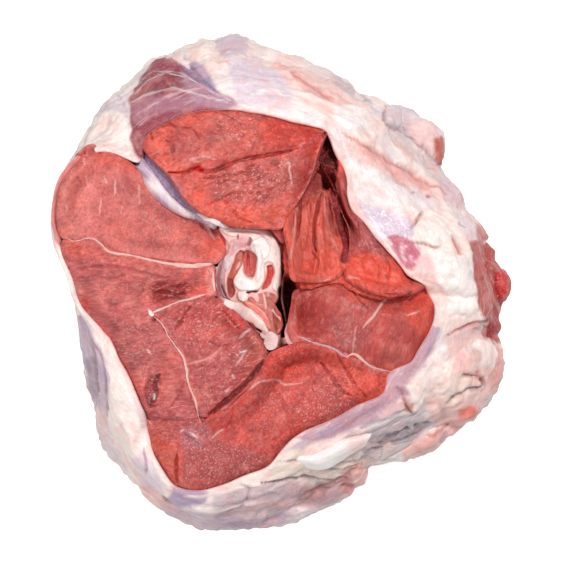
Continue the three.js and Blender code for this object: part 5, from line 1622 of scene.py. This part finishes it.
def make_skin(flesh_tree):
    """One closed ragged skin for the jacket and the pads, and the thin strings that lie on it."""
    table = skin_table(flesh_tree)
    total = table.shape[1]
    grid = bmesh.new()
    bmesh.ops.create_grid(grid, x_segments=SKIN_COLUMNS, y_segments=total, size=1)
    for vertex in grid.verts:
        column = round((vertex.co.x + 1) / 2 * SKIN_COLUMNS)
        row = round((vertex.co.y + 1) / 2 * total) % total
        vertex.co = Vector(table[column, row]) * MM
    bmesh.ops.remove_doubles(grid, verts=grid.verts, dist=SAME_PLACE)
    bmesh.ops.recalc_face_normals(grid, faces=grid.faces)
    mesh = mesh_from(grid, "silverskin")
    piece = object_from(mesh, "silverskin")
    surface = Surface(mesh)
    points = surface.points.copy()
    angle, reach = round_hub(points[:, :2])
    flow = skin_flow(points)
    outwards = (surface.normals[:, :2] * (points[:, :2] - HUB)).sum(1) / reach
    beyond = reach - FLESH_RIM.at(angle)
    outside = step(outwards + 0.9 * surface.normals[:, 2], -0.1, 0.35) * step(beyond, 0.8, 3.5)
    upper = step(points[:, 2] + 6 * noise(points, 9.0, 88), 12, 26)

    lumps = 0.8 * rough_noise(points, 15.0, 2, 91)
    ribs = 0.55 * rough_noise(flow, [24.0, 24.0, 3.4], 3, 92)
    sheets = 0.35 * step(noise(flow, [30.0, 30.0, 6.0], 93), 0.0, 0.16)
    pits = 0.16 * rough_noise(points, 2.4, 2, 94)
    ragged = 0.75 * rough_noise(points, 3.6, 2, 90) * step(beyond, 6, 14)
    surface.lift = (lumps + ribs + sheets + ragged) * step(points[:, 2], 0.0, 3.0) + pits
    surface.colour[:] = linear("cream")
    tint = rough_noise(flow, [22.0, 22.0, 7.0], 3, 96)
    surface.cover("pearl", 0.6 * step(tint, -0.1, 0.5))
    surface.cover("pink", 0.6 * step(-tint, 0.0, 0.6))
    violets = step(rough_noise(flow, [30.0, 30.0, 9.0], 2, 97), 0.1, 0.7)
    surface.cover("violet", 0.5 * violets * (1 - 0.7 * upper))
    heathers = step(rough_noise(flow, [34.0, 34.0, 12.0], 2, 98), 0.2, 0.8)
    surface.cover("heather", 0.45 * heathers * (1 - upper))
    edge = (1 - step(beyond, 0.6, 1.8)) * step(points[:, 2], 40, 44)
    surface.cover("pink", 0.5 * edge)
    surface.look(5.0, 1.5, 95)
    shown = upper * step(surface.normals[:, 2] + 0.35 * outwards, 0.0, 0.15)
    draw_areas(surface, SKIN_AREAS, shown)
    draw_areas(surface, RIM_AREAS, shown * step(points[:, 2], 38, 46))
    draw_areas(surface, NOTCH_AREAS, shown * step(points[:, 2], 47, 51))
    surface.look(3.0, 0.9, 99)
    draw_strokes(surface, SKIN_STROKES, shown)
    surface.points += surface.normals * (surface.lift * outside)[:, None]
    surface.points[:, 2] = np.maximum(surface.points[:, 2], 0.0)
    finish(piece, surface, SILVERSKIN, "silverskin", *SKIN_NODES, flow=flow)
    strings = []
    for line, width, colour, _, _ in SKIN_STROKES:
        if colour in STRING_COLOURS and width < STRING_WIDTH:
            strings.append((line, [0.3, 0.7 * width, 0.8 * width, 0.3], 0.2, colour, colour, -0.08))
    make_strands("skin_strings", strings, tree_of([mesh]), ON_TOP, "silverskin", FASCIA_SKIN)


# ----------
# The trimmings and the tendon flap, which lie on the skin
# ----------
PADS = {
    # lumps and grow in mm, pulls as for the core, areas and strokes as for the skin
    "trim_muscle_right": {
        "colour": "trim", "slot": "flesh_trimming", "lumps": 0.6, "grow": 0.2,
        "pulls": [((508, 312), 14, (-11, 0)), ((506, 260), 11, (-9, 0))],
        "areas": [([(495, 272), (503, 270), (509, 282), (508, 297), (500, 302), (494, 290)],
                   "blood", 0.8, 2, 0.8, 0.3),
                  ([(474, 245), (486, 245), (492, 280), (486, 300), (478, 275)], "trim", 0.7, 3, 0.0, 0.2),
                  ([(482, 300), (506, 304), (508, 330), (498, 342), (484, 334)], "dusky", 0.6, 4, 0.0, 0.2)],
        "strokes": [([(474, 250), (478, 275), (486, 300), (492, 330)], 1.6, "pink", 0.7, 0.4),
                    ([(494, 272), (496, 290), (500, 304)], 1.6, "deep_red", 0.5, -0.8),
                    ([(486, 290), (496, 304), (500, 324)], 1.4, "rose", 0.6, 0.3),
                    ([(500, 280), (505, 292)], 2.0, "flame", 0.6, 0.3)],
    },
    "tendon_flap_lower": {
        "colour": "white", "slot": "tendon_and_fat", "lumps": 0.25, "grow": 0.1,
        "pulls": [((302, 472), 16, (-7, -11)), ((362, 432), 12, (3, 2))],
        "areas": [([(352, 430), (370, 428), (366, 440), (358, 452), (348, 446)], "pink", 0.4, 3, 0.0, 0.0)],
        "strokes": [([(310, 446), (330, 438), (352, 434)], 2.0, "white", 0.5, 0.4)],
    },
}


PAD_SEED = 120
PAD_GRAIN = 0.5  # millimetres to a face


def make_pad(name, facts):
    """A trimming or a flap that lies on the skin."""
    piece = soft_copy(name, name + "_skin", PAD_GRAIN, 6, fine_top=False)
    surface = Surface(piece.data)
    everywhere = np.ones(len(surface.points))
    draw_aside(surface, facts["pulls"], everywhere)
    points = surface.points.copy()
    seed = PAD_SEED + 5 * list(PADS).index(name)
    surface.lift = facts["grow"] + facts["lumps"] * rough_noise(points, 6.0, 3, seed)
    surface.colour[:] = linear(facts["colour"])
    surface.cover("rose", 0.35 * step(noise(points, 7.0, seed + 3), 0.1, 0.8))
    surface.look(4.0, 0.8, seed)
    draw_areas(surface, facts["areas"], everywhere)
    draw_strokes(surface, facts["strokes"], everywhere)
    surface.points += surface.normals * surface.lift[:, None]
    finish(piece, surface, PAD_SKINS[facts["slot"]], facts["slot"], name, flow=skin_flow(points))


# ----------
# Floor, light and camera
# ----------
FLOOR_HALF = 1.5  # metres


def make_stage():
    ground = bmesh.new()
    bmesh.ops.create_grid(ground, x_segments=1, y_segments=1, size=FLOOR_HALF)
    floor = object_from(mesh_from(ground, "floor"), "floor")
    material, tree = new_material("floor_white")
    sockets = {
        "Base Color": (0.8, 0.8, 0.8, 1), "Roughness": 0.9, "Specular IOR Level": 0.0,
        "Emission Color": (0.7, 0.7, 0.7, 1),
        "Emission Strength": node(tree, "ShaderNodeLightPath", {}).outputs["Is Camera Ray"],
    }
    for name, value in sockets.items():
        plug(tree, tree.nodes["Principled BSDF"].inputs[name], value)
    floor.data.materials.append(material)


LIGHTS_AIM = (0, 0, 0.03)
SENSOR_WIDTH = 36.0


def make_light(name, spot, size, power):
    """A round light in metres and watts."""
    lamp = bpy.data.lights.new(name, "AREA")
    lamp.energy = power
    lamp.shape = "DISK"
    lamp.size = size
    holder = bpy.data.objects.new(name, lamp)
    bpy.context.scene.collection.objects.link(holder)
    holder.location = spot
    holder.rotation_euler = (Vector(LIGHTS_AIM) - Vector(spot)).to_track_quat("-Z", "Y").to_euler()


def make_lights():
    world = bpy.data.worlds.new("soft_room")
    bpy.context.scene.world = world
    world.use_nodes = True
    sky = world.node_tree.nodes["Background"]
    sky.inputs["Color"].default_value = (0.98, 0.99, 1.0, 1)
    sky.inputs["Strength"].default_value = 0.42
    make_light("key", (0.3, 0.42, 0.95), 0.25, 6.6)
    make_light("fill", (-0.6, -0.2, 0.8), 0.5, 3.4)


def make_camera():
    """A camera straight over the middle of the photograph, which it just fills."""
    view = bpy.data.cameras.new("camera")
    view.sensor_width = SENSOR_WIDTH
    view.lens = SENSOR_WIDTH * CAMERA_HEIGHT / (PHOTO_SIZE * PIXEL)
    holder = bpy.data.objects.new("camera", view)
    bpy.context.scene.collection.objects.link(holder)
    middle = place([(PHOTO_SIZE / 2, PHOTO_SIZE / 2)])[0]
    holder.location = (middle[0] * MM, middle[1] * MM, (CAMERA_HEIGHT + FACE_HEIGHT) * MM)
    bpy.context.scene.camera = holder


def set_colours():
    scene = bpy.context.scene
    scene.view_settings.view_transform = "Standard"
    scene.view_settings.look = "None"


# ----------
# Making everything
# ----------
CORE_TISSUE = connective_material("core_tissue", streaks=0.2, clouds=0.1, bump=0.18, soft=0.15)
SEPTUM_SKIN = connective_material("septum_skin", streaks=0.35, clouds=0.0, bump=0.14, soft=0.12)
FASCIA_SKIN = connective_material("fascia_skin", streaks=0.15, clouds=0.1, bump=0.12, soft=0.2)
SEAM_FLESH = flesh_material("seam_flesh", turn=30, tilt=20, grain=0.9, contrast=0.8)
SILVERSKIN = connective_material("silverskin", streaks=0.55, clouds=0.3, bump=0.3, soft=0.1)
PAD_SKINS = {
    "flesh_trimming": connective_material("trimming_flesh", streaks=0.3, clouds=0.0, bump=0.2, soft=0.1),
    "tendon_and_fat": connective_material("tendon_skin", streaks=0.25, clouds=0.05, bump=0.14, soft=0.2),
}

make_stage()
make_lights()
make_camera()
set_colours()
muscles, fits = make_flesh()
core = make_core()
septum = make_septum(fits["flat"])
flesh_tree = tree_of([piece.data for piece in muscles.values()] + [core.data, septum.data])
make_strands("seams", SEAMS, flesh_tree, IN_GAP, "flesh", SEAM_FLESH)
make_strands("fascia", FASCIA, flesh_tree, ON_TOP, "tendon_and_fat", FASCIA_SKIN)
make_strands("core_strands", CORE_STRANDS, flesh_tree, ON_TOP, "tendon_and_fat", CORE_TISSUE)
make_skin(flesh_tree)
for pad_name, pad_facts in PADS.items():
    make_pad(pad_name, pad_facts)
